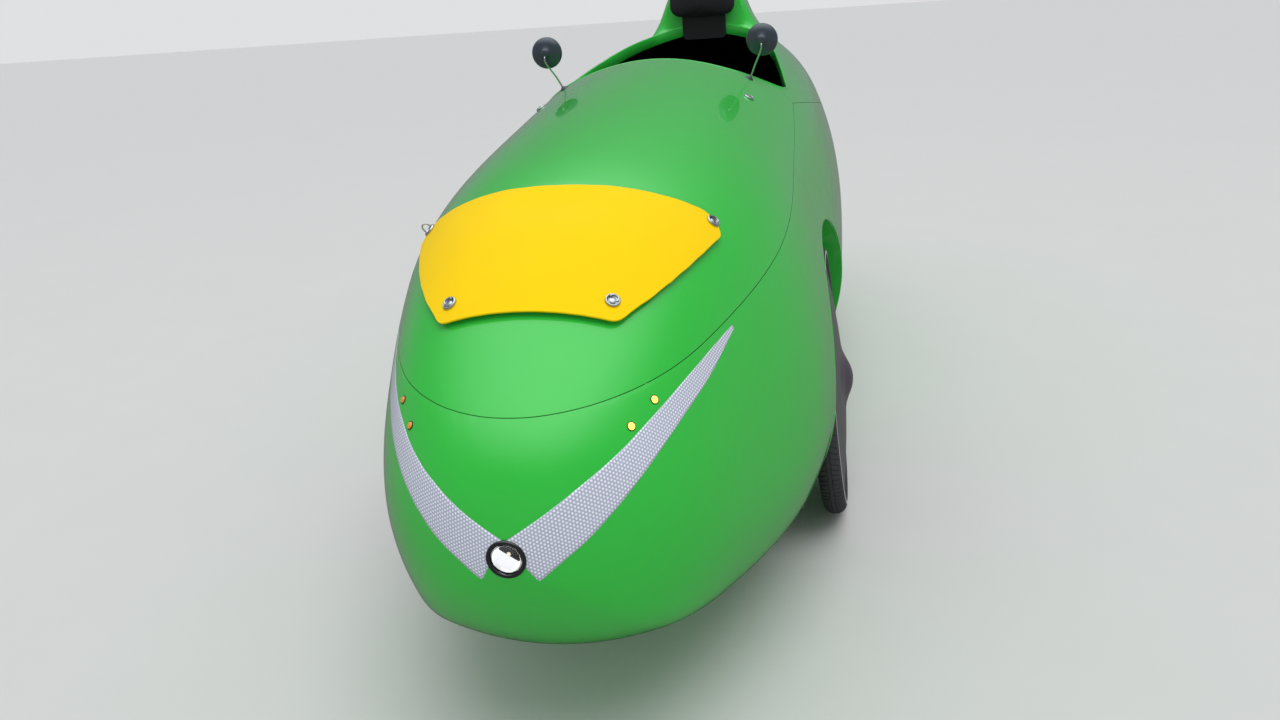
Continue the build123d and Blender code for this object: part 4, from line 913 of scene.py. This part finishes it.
# Bows of the front and of a side, how full the side's is at the front, and what that loses to the rear
PLATE_FRONT_BOW, PLATE_SIDE_BOW, PLATE_SIDE_FULL, PLATE_SIDE_LESS = 9, 13, 1.3, 0.7
# The outline's points: across the rear edge, and as shares of the front and of a side
PLATE_REAR_POINTS, PLATE_FRONT_POINTS = (160, 120, 80, 40, 0), (0, 0.25, 0.5, 0.72)
PLATE_SIDE_POINTS = (0.2, 0.35, 0.5, 0.65, 0.8)
PLATE_LIFT, PLATE_THICK, PLATE_BEVEL = 6, 3, 0.9
# Room round the plate: the farthest station, the lowest height and the half width
PLATE_ROOM = (520, 490, 260)


def plate_outline():
    """Plan of the hatch plate: front and sides slightly bowed out, its rear edge an arc bowed forwards."""
    corner = PLATE_REAR[:2]
    x, y, radius = circle_through(corner, (0, PLATE_REAR_MIDDLE), (-corner[0], corner[1]))
    rear = [(across, y - math.sqrt(radius ** 2 - (across - x) ** 2), 1) for across in PLATE_REAR_POINTS]
    wide, ahead, rounding = PLATE_FRONT
    front = [(wide * share, ahead - PLATE_FRONT_BOW * (1 - share ** 2), 1) for share in PLATE_FRONT_POINTS]
    out = Vector((corner[1] - ahead, wide - corner[0])).normalized()
    flank = []
    for share in PLATE_SIDE_POINTS:
        bulge = 4 * PLATE_SIDE_BOW * share * (1 - share) * (PLATE_SIDE_FULL - PLATE_SIDE_LESS * share)
        flank.append((wide + (corner[0] - wide) * share + out.x * bulge,
                      ahead + (corner[1] - ahead) * share + out.y * bulge, 1))
    edge = front + [PLATE_FRONT] + flank + [PLATE_REAR] + rear
    half = [(across * MM, station(s), r * MM) for across, s, r in edge]
    return rounded(half + [(-across, s, r) for across, s, r in reversed(half[1:-1])], steps=10)


def make_hatch_plate():
    """Sheet of the skin inside the plate's outline, lifted off the bonnet."""
    rule = plan_rule(plate_outline())
    bm = ringed(GRID, capped=True)
    last, low, half = PLATE_ROOM
    far = [v for v in bm.verts if v.co.y > station(last) or v.co.z < low * MM or abs(v.co.x) > half * MM]
    bmesh.ops.delete(bm, geom=far, context="VERTS")
    bmesh.ops.subdivide_edges(bm, edges=bm.edges, cuts=1, use_grid_fill=True)
    cut(bm, rule)
    drop_faces(bm, face_values(bm, rule) > 0)
    bm.normal_update()
    for vert, place in [(v, v.co + v.normal * PLATE_LIFT * MM) for v in bm.verts]:
        vert.co = place
    plate = from_bmesh("hatch_plate_sheet", bm)
    thicken(plate, PLATE_THICK * MM, PLATE_BEVEL * MM, offset=1.0, segments=3)
    dress(plate, "body", "yellow_paint", "hatch_plate")


# ---------------------------------------------------------------- Studs and spacers
HATCH_STUDS = [(180, 384, 640), (92, 186, 598)]
BONNET_STUD = (195, 985, 745)
HATCH_BAIL_TURN, BONNET_BAIL_TURN = 0.4, 0.3
STUD_CUP = [(0, 0.8), (5.6, 0.8), (6.3, 1.3), (6.8, 2.5), (7.5, 3.0), (8.3, 2.7), (9.0, 1.4), (9.0, 0),
            (0, 0)]
STUD_HEAD = [(0, 1.9), (3.6, 1.9), (4.2, 1.4), (4.2, 0.8)]
SPACER = [(0, 0.3), (8, 0.3), (8, 1.2), (6.6, 1.8), (6.6, 4.2), (8, 4.8), (8, 5.7), (0, 5.7)]
BAIL_HALF, BAIL_REACH, BAIL_POWER, BAIL_WIRE, BAIL_STEPS = 5.0, 10.5, 0.7, 1.05, 16
# Foot of a standing bail; a lying one's distance from the middle, its reach's share and its height
BAIL_FOOT, BAIL_OFF, BAIL_SHARE, BAIL_LYING = 1.6, 1, 0.55, 2.9


def quarter_turn_stud(standing):
    """Cup, head and wire bail of one quarter-turn stud."""
    bail = []
    for turn in (math.pi * step / BAIL_STEPS for step in range(BAIL_STEPS + 1)):
        x, reach = BAIL_HALF * math.cos(turn), BAIL_REACH * math.sin(turn) ** BAIL_POWER
        bail.append(Vector((x, 0, BAIL_FOOT + reach) if standing
                           else (x, BAIL_OFF + reach * BAIL_SHARE, BAIL_LYING)) * MM)
    wire = tube("bail", bail, BAIL_WIRE, "steel_part", sides=8)
    return join("stud", lathe("cup", STUD_CUP, steps=40), lathe("head", STUD_HEAD, steps=32), wire)


def make_studs():
    """Studs and spacers of the hatch plate, the right rear bail standing, and the bonnet's studs."""
    tops, foots, bonnet, raised = [], [], [], []
    for side, word in SIDES:
        for x, distance, z in HATCH_STUDS:
            spot, normal = on_skin(side * x, distance, z)
            over = spot + normal * (PLATE_LIFT + PLATE_THICK) * MM
            top = place_on(over, normal, (side * HATCH_BAIL_TURN, 1, 0))
            (raised if side < 0 and (x, distance, z) == HATCH_STUDS[0] else tops).append(top)
            foots.append(place_on(spot, normal))
        spot, normal = on_skin(side * BONNET_STUD[0], *BONNET_STUD[1:])
        bonnet.append(place_on(spot, normal, (side, BONNET_BAIL_TURN, 0)))
    flat = seated("hatch_studs_flat", quarter_turn_stud(False), tops, "steel_part")
    standing = seated("hatch_stud_standing", quarter_turn_stud(True), raised, "steel_part")
    dress(join("hatch_stud_set", flat, standing), "body", "steel_part", "hatch_fasteners")
    spacers = seated("hatch_spacer_set", lathe("spacer", SPACER, steps=32), foots, "black_plastic")
    dress(spacers, "body", "black_plastic", "hatch_spacers")
    studs = seated("bonnet_stud_set", quarter_turn_stud(False), bonnet, "steel_part")
    dress(studs, "body", "steel_part", "bonnet_fasteners")


# ---------------------------------------------------------------- Lamps, profiles as radius and height
LAMP_RING = [(16.5, -32), (16.5, -4.5), (17.1, -1.6), (17.8, -0.4), (19.0, 0.2), (20.6, 0), (21.6, -0.8),
             (22, -2.0), (22, -3.7), (18.5, -3.7), (18.5, -32)]
LAMP_DOME = [(0, 2.2), (5, 1.8), (10, 0.5), (13.5, -1.3), (16.2, -3.4), (16.2, -4.6), (13, -2.9), (10, -1.3),
             (5, 0.2), (0, 0.6)]
LED_DOME = [(0, -4.9), (1.2, -5.1), (1.9, -5.7), (2.2, -6.6), (2.2, -7.2), (0, -7.2)]
LED_PLACE = (2, 4)
SHADE_RADIUS, SHADE_HEIGHT, SHADE_THICK, SHADE_BEVEL, SHADE_TURN, SHADE_SPAN = 15.0, -6.6, -1.2, 0.3, 56, 158
SHADE_POINTS = 37
CUP_RADIUS, CUP_DEPTH, CUP_FRONT, CUP_HOLE, CUP_POINTS = 16.0, 21.0, -5.5, 0.28, 12
CUP_WALL = (0.2, 0.7)
TAIL_END = 2850
TAIL_DOME = [(18, -5.7), (18, -3.2), (17.2, -1.6), (14.5, -0.5), (8, 0.1), (0, 0.3)]
TAIL_RING = [(18.1, -6.5), (18.1, -2.6), (18.8, -1.9), (19.6, -2.6), (20.0, -4.0), (20.0, -6.5)]
INDICATORS = [(143, 129, 507), (123, 93, 491)]
AMBER_DOME = [(4.2, -1), (4.2, 0.5), (3.9, 1.4), (3.0, 2.2), (1.6, 2.6), (0, 2.7)]
AMBER_RING = [(4.2, -1), (4.2, 0.8), (4.7, 1.0), (5.2, 0.5), (5.3, -1)]


def make_headlamp():
    front = place_on(Vector((0, station(0), LAMP_HEIGHT * MM)), (0, -1, 0), (0, 0, 1))
    ring = lathe("headlamp_ring", LAMP_RING, front, steps=96, closed=True)
    dress(ring, "body", "black_plastic", "headlamp_bezel", finish="lamp_black")
    dress(lathe("headlamp_dome", LAMP_DOME, front), "body", "clear_lens", "headlamp_lens")
    shares = np.linspace(CUP_HOLE, 1, CUP_POINTS)
    cup = [(CUP_RADIUS * share, CUP_FRONT - CUP_DEPTH * (1 - share ** 2)) for share in shares]
    back = [(radius + CUP_WALL[0], height - CUP_WALL[1]) for radius, height in reversed(cup)]
    # The cup's finish glows: a painted reflection of the sky, not light of its own
    reflector = lathe("headlamp_cup", cup + back, front, steps=40, closed=True)
    dress(reflector, "body", "lamp_chrome", "headlamp_reflector")
    arc = np.radians(SHADE_TURN + SHADE_SPAN * np.linspace(-0.5, 0.5, SHADE_POINTS))
    flats = [ring_at(SHADE_RADIUS, height, arc, front)
             for height in (SHADE_HEIGHT, SHADE_HEIGHT + SHADE_THICK)]
    shade = from_bmesh("headlamp_shade", ringed(flats, capped=True))
    shade.data.shade_flat()
    soften(shade, SHADE_BEVEL * MM)
    dress(shade, "body", "black_plastic", finish="lamp_black")
    spot = front @ Matrix.Translation((LED_PLACE[0] * MM, LED_PLACE[1] * MM, 0))
    dress(lathe("headlamp_led", LED_DOME, spot, steps=32), "body", "clear_lens", finish="led_white")


def make_tail_lamp():
    place = place_on(Vector((0, station(TAIL_END), AXIS_TAIL)), (0, 1, 0), (0, 0, 1))
    dress(lathe("tail_lamp_dome", TAIL_DOME, place), "body", "red_lens", "tail_lamp")
    dress(lathe("tail_lamp_ring", TAIL_RING, place), "body", "black_plastic")


def make_indicators():
    """Two lamps a side in their rings, the left ones lit."""
    for side, word in SIDES:
        places = [place_on(*on_skin(side * x, distance, z), (0, 0, 1)) for x, distance, z in INDICATORS]
        pair = seated(f"indicator_domes_{word}", lathe("dome", AMBER_DOME, steps=32), places,
                      "amber_lit" if side > 0 else "amber_lens")
        dress(pair, "body", "amber_lens", f"indicator_{word}")
        rings = seated(f"indicator_rings_{word}", lathe("ring", AMBER_RING, steps=32), places,
                       "black_plastic")
        dress(rings, "body", "black_plastic")


# ---------------------------------------------------------------- Mirrors
MIRROR_BASE, MIRROR_HEAD = (186, 1130, 767), (204, 1128, 822)
MIRROR_SHELL = [(25.8, -0.6), (27.2, 1.4), (28.4, 1.6), (29.0, 0.6), (28.9, -3), (27.4, -6.5), (23.6, -9.8),
                (17.4, -12.2), (10.0, -13.4), (8.8, -14.4), (8.4, -18.4), (7.2, -20.6), (4.6, -21.6),
                (0, -21.8), (0, -10), (12, -9.6), (22, -6.6), (25.8, -3)]
MIRROR_FOOT = [(0, 5.4), (2.6, 5.2), (3.4, 4.2), (5.0, 2.8), (7.2, 1.8), (8.0, 0.6), (8.0, -0.4)]
GLASS = [(0, 0.5), (14, 0.7), (24.6, 1.0), (26, 0.5), (26, 0.1), (0, 0.1)]
# The stalk's bends: heights over the foot with a shift, then places beside the neck
STALK_RADIUS = 1.6
STALK_FOOT = [(3, (0, 0, 0)), (13, (0, 0, 0)), (22, (0, -4, 4))]
STALK_NECK = [(0, -24, -16), (0, -23, -7), (0, -16, -4)]


def make_mirrors():
    for side, word in SIDES:
        spot, normal = on_skin(side * MIRROR_BASE[0], *MIRROR_BASE[1:])
        head = Vector((side * MIRROR_HEAD[0] * MM, station(MIRROR_HEAD[1]), MIRROR_HEAD[2] * MM))
        facing = place_on(head, (0, 1, 0), (0, 0, 1))
        shell = lathe("shell", MIRROR_SHELL, facing, steps=72, closed=True)
        foot = lathe("foot", MIRROR_FOOT, place_on(spot, normal), steps=36)
        bend = [spot + (normal * rise + Vector(shift)) * MM for rise, shift in STALK_FOOT]
        bend += [head + Vector(shift) * MM for shift in STALK_NECK]
        dress(tube(f"mirror_stalk_{word}", bend, STALK_RADIUS, "steel_part"), "body", "steel_part")
        dress(join(f"mirror_shell_{word}", shell, foot), "body", "mirror_shell", f"mirror_{word}")
        glass = lathe(f"mirror_disc_{word}", GLASS, facing)
        dress(glass, "body", "mirror_silver", f"mirror_glass_{word}")


# ---------------------------------------------------------------- Coaming
COAMING_THICK, COAMING_GAP, COAMING_STEP, COAMING_SINK, COAMING_SMOOTHING = 5.0, 0.3, 12.0, 1.2, 6
COAMING_PROBE = 10
COAMING_SECTION = [(0, -24), (0, -0.6), (0.7, 0.7), (2.5, 1.2), (4.3, 0.7), (5.0, -0.6), (5.0, -23),
                   (4.3, -24)]


def stepped(points, step):
    """Places along a line of points, about a step apart, without the last point."""
    places = []
    for a, b in zip(points, points[1:]):
        count = max(1, round(float(np.linalg.norm(b - a)) / step))
        places += [a + (b - a) * part / count for part in range(count)]
    return places


def make_coaming():
    """Flange turned down round the cockpit opening, its top following the CAD flange."""
    outline = rounded(mirrored(COCKPIT), steps=20)
    points = np.array(stepped([*outline, outline[0]], COAMING_STEP * MM))
    run = np.roll(points, -1, axis=0) - np.roll(points, 1, axis=0)
    inward = np.stack([-run[:, 1], run[:, 0]], axis=1) / np.linalg.norm(run, axis=1)[:, None]
    if outline_distance(points[:1] + inward[:1] * COAMING_PROBE * MM, outline)[0] > 0:
        inward = -inward
    crest = cad_tree("cockpit_coaming")
    heights = []
    for place, way in zip(points, inward):
        middle = place + way * (COAMING_THICK / 2 + COAMING_GAP) * MM
        spot, normal, face, distance = crest.ray_cast(Vector((*middle, FAR)), Vector((0, 0, -1)))
        heights.append(spot.z if spot is not None else heights[-1])
    heights = np.array(heights)
    for step in range(COAMING_SMOOTHING):
        heights = (np.roll(heights, 1) + 2 * heights + np.roll(heights, -1)) / 4
    rings = [[(*(place + way * (COAMING_GAP + depth) * MM), top + (rise - COAMING_SINK) * MM)
              for depth, rise in COAMING_SECTION] for place, way, top in zip(points, inward, heights)]
    rim = from_bmesh("cockpit_rim", ringed(rings, closed=True))
    rim.data.set_sharp_from_angle(angle=SHARP_RIM)
    dress(rim, "body", "green_paint", "cockpit_coaming")


# ---------------------------------------------------------------- Wheels
HUB_SPREAD, CAMBER, AXLE_HEIGHT = 315, math.radians(4.5), 242.312
TYRE_WIDTH, TYRE_SWEEP = 40, math.radians(138.6)
FRONT_PITCHES, REAR_PITCHES = 128, 168
# One pitch of the tread as (share, groove), and the rib as (distance over the crown, groove)
GROOVE = [(0.0, 0), (0.05, 1), (0.20, 1), (0.25, 0), (0.62, 0), (1.0, 0)]
TREAD_DEPTH, TREAD_SLANT, TREAD_WELD = 1.2, 0.055, 0.02
RIB = [(2.6, 0), (2.9, 1), (3.9, 1), (4.2, 0)]
TREAD_EDGE, TREAD_STEP, RING_START, RING_END, RING_LIP = 19.0, 0.2, 27.0, 32.5, 0.3
# Other places across the tyre, as distances over the crown: its middle, the blocks and the wall
CROWN_PLACES, BLOCK_PLACES = (0.0, 1.4), (4.21, 7.5, 11, 14.5, 17.5)
SHOULDER_PLACE, WALL_PLACES = 22, (38, 42, 45.5)
RIM_PROFILE = [(-14, 0), (-11.5, 0), (-11.5, 4), (-6, 7), (6, 7), (11.5, 4), (11.5, 0), (14, 0), (14, 8),
               (7, 15), (-7, 15), (-14, 8)]
FRONT_HUB = [(6.2, -26), (38, -26), (43.5, -25), (45, -23), (45, -21), (43, -20), (43, -16), (45, -15),
             (45, -9), (42, -7.5), (42, -0.5), (45, 1), (45, 7), (43, 9.4), (24, 10), (22, 12), (22, 21.5),
             (20, 24), (6.2, 24)]
REAR_HUB = [(6.2, -58), (16, -58), (20, -54), (28, -52), (28, -44), (20, -40), (20, -14), (28, -11),
            (28, 11), (20, 14), (20, 40), (24, 46), (24, 54), (20, 58), (6.2, 58)]
RIM_BEVEL, HUB_BEVEL, WHEEL_EDGE = 0.7, 0.5, 30
SPOKE_RADIUS, NIPPLE_RADIUS, NIPPLE_LENGTH = 1.1, 2.0, 12
# How deep a spoke's foot sits in the hub, its end under the rim's top, and its place there as a share
SPOKE_SINK, SPOKE_END, SPOKE_SPREAD = 2, 14, 0.3
# Rim's radius, hub, number of spokes, the spokes' places along the hub and its radius under them
FRONT_LACING = (207.7, FRONT_HUB, 20, (4, -12), 44)
REAR_LACING = (284.2, REAR_HUB, 24, (-10, 10), 27)


def hub_place(side):
    """Frame at a front hub: Z out along the axle, leaned by the camber."""
    hub = Vector((side * HUB_SPREAD * MM, station(FRONT_AXLE), AXLE_HEIGHT * MM))
    return place_on(hub, (side * math.cos(CAMBER), 0, math.sin(CAMBER)))


def tyre_columns():
    """Places across the tyre as (distance over the crown, groove depth share, grooved)."""
    half = [(w, 0, False) for w in CROWN_PLACES] + [(w, depth, False) for w, depth in RIB]
    half += [(w, 0, True) for w in (*BLOCK_PLACES, TREAD_EDGE)]
    walls = (TREAD_EDGE + TREAD_STEP, SHOULDER_PLACE, RING_START, RING_START + RING_LIP, RING_END,
             RING_END + RING_LIP, *WALL_PLACES, TYRE_WIDTH / 2 * TYRE_SWEEP)
    half += [(w, 0, False) for w in walls]
    return [(-w, depth, grooved) for w, depth, grooved in reversed(half[1:])] + half


def make_tyre(name, node, body, place, radius, pitches, ringed_wall=False):
    """Tyre with slanted tread blocks and two ribs, its outer wall with or without a reflecting ring."""
    small = TYRE_WIDTH / 2
    grid = []
    for share, low in GROOVE:
        grid.append([])
        for across, depth, grooved in tyre_columns():
            turn = 2 * math.pi * (share + min(abs(across), TREAD_EDGE) * TREAD_SLANT) / pitches
            wall = small - max(depth, low if grooved else 0) * TREAD_DEPTH
            reach = radius - small + wall * math.cos(across / small)
            grid[-1] += ring_at(reach, wall * math.sin(across / small), [turn])
    pitch = from_bmesh("tread_pitch", ringed(grid))
    tyre = around(name, pitch, pitches, 2 * math.pi / pitches, "tyre_rubber", place, TREAD_WELD * MM)
    if ringed_wall:
        tyre.data.materials.append(FINISHES["reflex_ring"])
        back = place.inverted()
        inner, outer = (radius - small + small * math.cos(w / small)
                        for w in (RING_END + RING_LIP, RING_START))
        for polygon in tyre.data.polygons:
            spot = back @ polygon.center / MM
            if spot.z > 0 and inner < math.hypot(spot.x, spot.y) < outer:
                polygon.material_index = 1
    tyre.data.set_sharp_from_angle(angle=SHARP_TREAD)
    dress(tyre, body, "tyre_rubber", node)


def make_wheel(name, node, body, place, top, hub, spokes, lines, hub_radius):
    """Rim, hub, spokes and nipples of one wheel."""
    rim = lathe("rim", [(top - depth, x) for x, depth in RIM_PROFILE], place, steps=144, closed=True)
    soften(rim, RIM_BEVEL * MM, 2, WHEEL_EDGE)
    middle = lathe("hub", hub, place, steps=72, closed=True)
    soften(middle, HUB_BEVEL * MM, 1, WHEEL_EDGE)
    pair = []
    for index, line in enumerate(lines):
        turn = 2 * math.pi * index / spokes
        way = Vector((math.cos(turn), math.sin(turn), 0))
        start, end = way * (hub_radius - SPOKE_SINK), way * (top - SPOKE_END)
        start.z, end.z = line, line * SPOKE_SPREAD
        for foot, radius in ((start, SPOKE_RADIUS), (end - way * NIPPLE_LENGTH, NIPPLE_RADIUS)):
            pair.append(tube("spoke", [foot * MM, end * MM], radius, "alloy", sides=8, smooth=False))
    laced = around("spokes", join("spoke_pair", *pair), spokes // 2, 4 * math.pi / spokes, "alloy", place)
    dress(join(name, rim, middle, laced), body, "alloy", node)


def arc_points(a, b, c, count):
    """Points of the arc from a over b to c."""
    x, y, radius = circle_through(a, b, c)
    first, last = (math.atan2(p[1] - y, p[0] - x) for p in (a, c))
    turn = (last - first + math.pi) % (2 * math.pi) - math.pi
    turns = [first + turn * step / count for step in range(count + 1)]
    return [(x + radius * math.cos(t), y + radius * math.sin(t)) for t in turns]


COVER_PROFILE = [(203, 15.9), (120, 26), (58, 31)]
COVER_BULGE = [(47, 33.2), (37, 37.0), (28, 41.2), (19, 45.0), (10, 47.2), (5, 47.8), (0, 48)]
COVER_EDGE, COVER_THICK = [(203.4, 14.6), (203.6, 15.2)], 1.8
CLIP = [(0, 1.6), (2.2, 1.5), (3.4, 0.9), (3.8, 0)]
CLIP_TURNS, CLIP_REACH, CLIP_SEAT = (18, 102, 198, 282), 196.5, 17.0


def make_cover(word, place):
    """Smooth disc over the spokes with its bulge over the hub, and the small clips that hold it."""
    front = arc_points(*COVER_PROFILE, count=24) + COVER_BULGE
    back = [(radius, height - COVER_THICK) for radius, height in reversed(front)]
    disc = lathe(f"wheel_disc_{word}", front + back + COVER_EDGE, place, steps=180, closed=True)
    dress(disc, f"front_wheel_{word}", "wheel_disc", f"wheel_cover_{word}")
    spots = ring_at(CLIP_REACH, CLIP_SEAT, map(math.radians, CLIP_TURNS))
    seats = [place @ Matrix.Translation(spot) for spot in spots]
    clips = seated(f"disc_clips_{word}", lathe("clip", CLIP, steps=24), seats, "black_plastic")
    dress(clips, f"front_wheel_{word}", "black_plastic")


def make_wheels():
    for side, word in SIDES:
        place, body = hub_place(side), f"front_wheel_{word}"
        make_tyre(f"tyre_tread_{word}", f"tyre_{word}", body, place, FRONT_TYRE_RADIUS, FRONT_PITCHES, True)
        make_wheel(f"spoked_wheel_{word}", f"wheel_{word}", body, place, *FRONT_LACING)
        make_cover(word, place)
    rear = place_on(Vector((0, station(REAR_AXLE), REAR_TYRE_RADIUS * MM)), (1, 0, 0))
    make_tyre("tyre_tread_rear", "tyre_rear", "rear_wheel", rear, REAR_TYRE_RADIUS, REAR_PITCHES)
    make_wheel("spoked_wheel_rear", "wheel_rear", "rear_wheel", rear, *REAR_LACING)


# ---------------------------------------------------------------- Pads
PAD_VOXEL, PUFF_FRAMES, PUFF_CAP, PUFF_PRESSURE, PUFF_STIFFNESS = 5, 20, 6, 4.0, 12


def puff(piece):
    """Remesh a pad evenly, blow it up with cloth, and keep each point within the cap."""
    name = piece.name
    grid = piece.modifiers.new("grid", "REMESH")
    grid.mode = "VOXEL"
    grid.voxel_size = PAD_VOXEL * MM
    piece = applied(piece, name + "_even")
    rest = np.array([v.co for v in piece.data.vertices])
    cloth = piece.modifiers.new("cloth", "CLOTH")
    cloth.settings.use_pressure = True
    cloth.settings.uniform_pressure_force = PUFF_PRESSURE
    cloth.settings.effector_weights.gravity = 0
    cloth.settings.tension_stiffness = PUFF_STIFFNESS
    cloth.point_cache.frame_start, cloth.point_cache.frame_end = 1, PUFF_FRAMES
    for step in range(1, PUFF_FRAMES + 1):
        bpy.context.scene.frame_set(step)
    depsgraph = bpy.context.evaluated_depsgraph_get()
    move = np.array([v.co for v in piece.evaluated_get(depsgraph).data.vertices]) - rest
    piece.modifiers.remove(cloth)
    bpy.context.scene.frame_set(1)
    length = np.maximum(np.linalg.norm(move, axis=1), 1e-9)[:, None]
    move *= np.minimum(1, PUFF_CAP * MM / length)
    for vert, place in zip(piece.data.vertices, rest + move):
        vert.co = place
    finer = piece.modifiers.new("finer", "SUBSURF")
    finer.levels = finer.render_levels = 1
    return applied(piece, name)


# Headrest: half width, half height, corner rounding, middle's height and back's station
HEAD_HALF, HEAD_TALL, HEAD_ROUNDING, HEAD_MIDDLE, HEAD_BACK = 85, 48, 26, 895, 1960.7
HEAD_LAYERS = [(0, 0.94), (3, 0.965), (20, 0.965), (28, 0.93), (32, 0.84), (34, 0.6)]
PIPING_DEPTH, PIPING_RADIUS, PIPING_LIFT = 24, 1.5, 0.3


def headrest_ring(depth, share, steps):
    """The headrest's outline at a depth before its back, drawn in by a share."""
    signs = ((1, 1), (-1, 1), (-1, -1), (1, -1))
    corners = rounded([(HEAD_HALF * x, HEAD_TALL * z, HEAD_ROUNDING) for x, z in signs], steps)
    y = station(HEAD_BACK - depth)
    return [Vector((x * share * MM, y, (HEAD_MIDDLE + z * share) * MM)) for x, z in corners]


def make_headrest():
    """Padded headrest: a crowned cushion with a piped seam round its front edge."""
    rings = [headrest_ring(depth, share, steps=8) for depth, share in HEAD_LAYERS]
    pad = puff(from_bmesh("headrest_cushion", ringed(rings, capped=True)))
    for vert in pad.data.vertices:
        vert.co.y = min(vert.co.y, station(HEAD_BACK))
    dress(pad, "body", "pad_fabric", "headrest_pad")
    tree = BVHTree.FromObject(pad, bpy.context.evaluated_depsgraph_get())
    seam = []
    for place in headrest_ring(PIPING_DEPTH, 1, steps=6):
        spot, normal, face, distance = tree.find_nearest(place)
        seam.append(spot + normal * PIPING_LIFT * MM)
    piping = tube("headrest_piping", seam, PIPING_RADIUS, "pad_fabric", closed=True, sides=10)
    dress(piping, "body", "pad_fabric")


# Seat: its spine as station and height, then the pad over it, thinner and narrower within an end of 20 mm
SEAT_SPINE = [(1240, 222), (1455, 140), (1520, 160), (1800, 560), (1862, 655)]
SEAT_BEND, SEAT_LIFT, SEAT_PAD, SEAT_PAD_HALF, SEAT_STEP = 40, 5.3, 25, 147, 10.0
SEAT_END, SEAT_THIN, SEAT_NARROW, SEAT_CORE, SEAT_INSET = 20, 0.55, 0.96, 0.86, 4
# Side of the pad: its bulge out and up, its shoulder in and down, and where the top starts
SEAT_BULGE, SEAT_SHOULDER, SEAT_TOP = (1, 8), (5, 3), 18
CHANNEL_PITCH, CHANNEL_DEPTH, CHANNEL_WIDTH, CHANNEL_END, CHANNEL_FLOOR = 62.0, 4.5, 3.2, 16, 16
CHANNEL_RUN_OUT, CHANNEL_RISE = 10, 6


def seat_line():
    """Places along the seat's bent spine, the way up at each and the length so far."""
    spine = [Vector(p) for p in SEAT_SPINE]
    path = [spine[0]]
    for before, here, after in zip(spine, spine[1:], spine[2:]):
        path += arc_corner(before, here, after, SEAT_BEND, steps=8)
    places = stepped(path + spine[-1:], SEAT_STEP) + spine[-1:]
    ups, lengths = [], [0.0]
    for before, after in zip(places[:1] + places, places[1:] + places[-1:]):
        ahead = (after - before).normalized()
        ups.append(Vector((-ahead.y, ahead.x)))
    for a, b in zip(places, places[1:]):
        lengths.append(lengths[-1] + (b - a).length)
    return places, ups, lengths


def make_seat_pad():
    """Seat pad: foam in a sewn cover, with cross channels along the spine."""
    places, ups, lengths = seat_line()
    rings = []
    for place, up, length in zip(places, ups, lengths):
        end = min(min(length, lengths[-1] - length) / SEAT_END, 1)
        share = SEAT_THIN + (1 - SEAT_THIN) * math.sqrt(end)
        low, high = SEAT_LIFT, SEAT_LIFT + SEAT_PAD * share * SEAT_CORE
        half = (SEAT_PAD_HALF - SEAT_INSET) * (SEAT_NARROW + (1 - SEAT_NARROW) * end)
        section = [(half, low), (half + SEAT_BULGE[0], low + SEAT_BULGE[1]),
                   (half - SEAT_SHOULDER[0], high - SEAT_SHOULDER[1]), (half - SEAT_TOP, high)]
        section = [(-half, low)] + section + [(-x, rise) for x, rise in reversed(section[1:])]
        spots = [(x, place + up * rise) for x, rise in section]
        rings.append([(x * MM, station(spot.x), spot.y * MM) for x, spot in spots])
    pad = puff(from_bmesh("seat_cushion", ringed(rings, capped=True)))
    spine = np.array([(station(place.x), place.y * MM) for place in places])
    ups, lengths = np.array(ups), np.array(lengths)
    spots = np.array([v.co for v in pad.data.vertices])
    ways = np.array([v.normal for v in pad.data.vertices])

    def reach(spots):
        """Nearest spine mark of each spot, its length along the spine and its height over it."""
        near = np.linalg.norm(spots[:, None, 1:] - spine[None], axis=2).argmin(1)
        off = spots[:, 1:] - spine[near]
        along_way = np.stack([ups[near, 1], -ups[near, 0]], axis=1)
        return near, lengths[near] + (off * along_way).sum(1) / MM, (off * ups[near]).sum(1) / MM

    near, length, height = reach(spots)
    swing = (length + CHANNEL_PITCH / 2) % CHANNEL_PITCH - CHANNEL_PITCH / 2
    inner = np.clip((SEAT_PAD_HALF - CHANNEL_END - np.abs(spots[:, 0]) / MM) / CHANNEL_RUN_OUT, 0, 1)
    top = np.clip((height - CHANNEL_FLOOR) / CHANNEL_RISE, 0, 1)
    depth = CHANNEL_DEPTH * MM * np.exp(-(swing / CHANNEL_WIDTH) ** 2) * inner * top
    spots = spots - ways * depth[:, None]
    near, length, height = reach(spots)
    spots[:, 1:] += ups[near] * np.maximum(SEAT_LIFT - height, 0)[:, None] * MM
    for vert, spot in zip(pad.data.vertices, spots):
        vert.co = spot
    dress(pad, "body", "pad_fabric", "seat_pad")


for make in (make_camera, make_stage, finish_cad_nodes, make_body, line_wheel_boxes, make_arch_lips,
             make_stripes, make_hatch_plate, make_studs, make_headlamp, make_tail_lamp, make_indicators,
             make_mirrors, make_coaming, make_wheels, make_headrest, make_seat_pad):
    make()
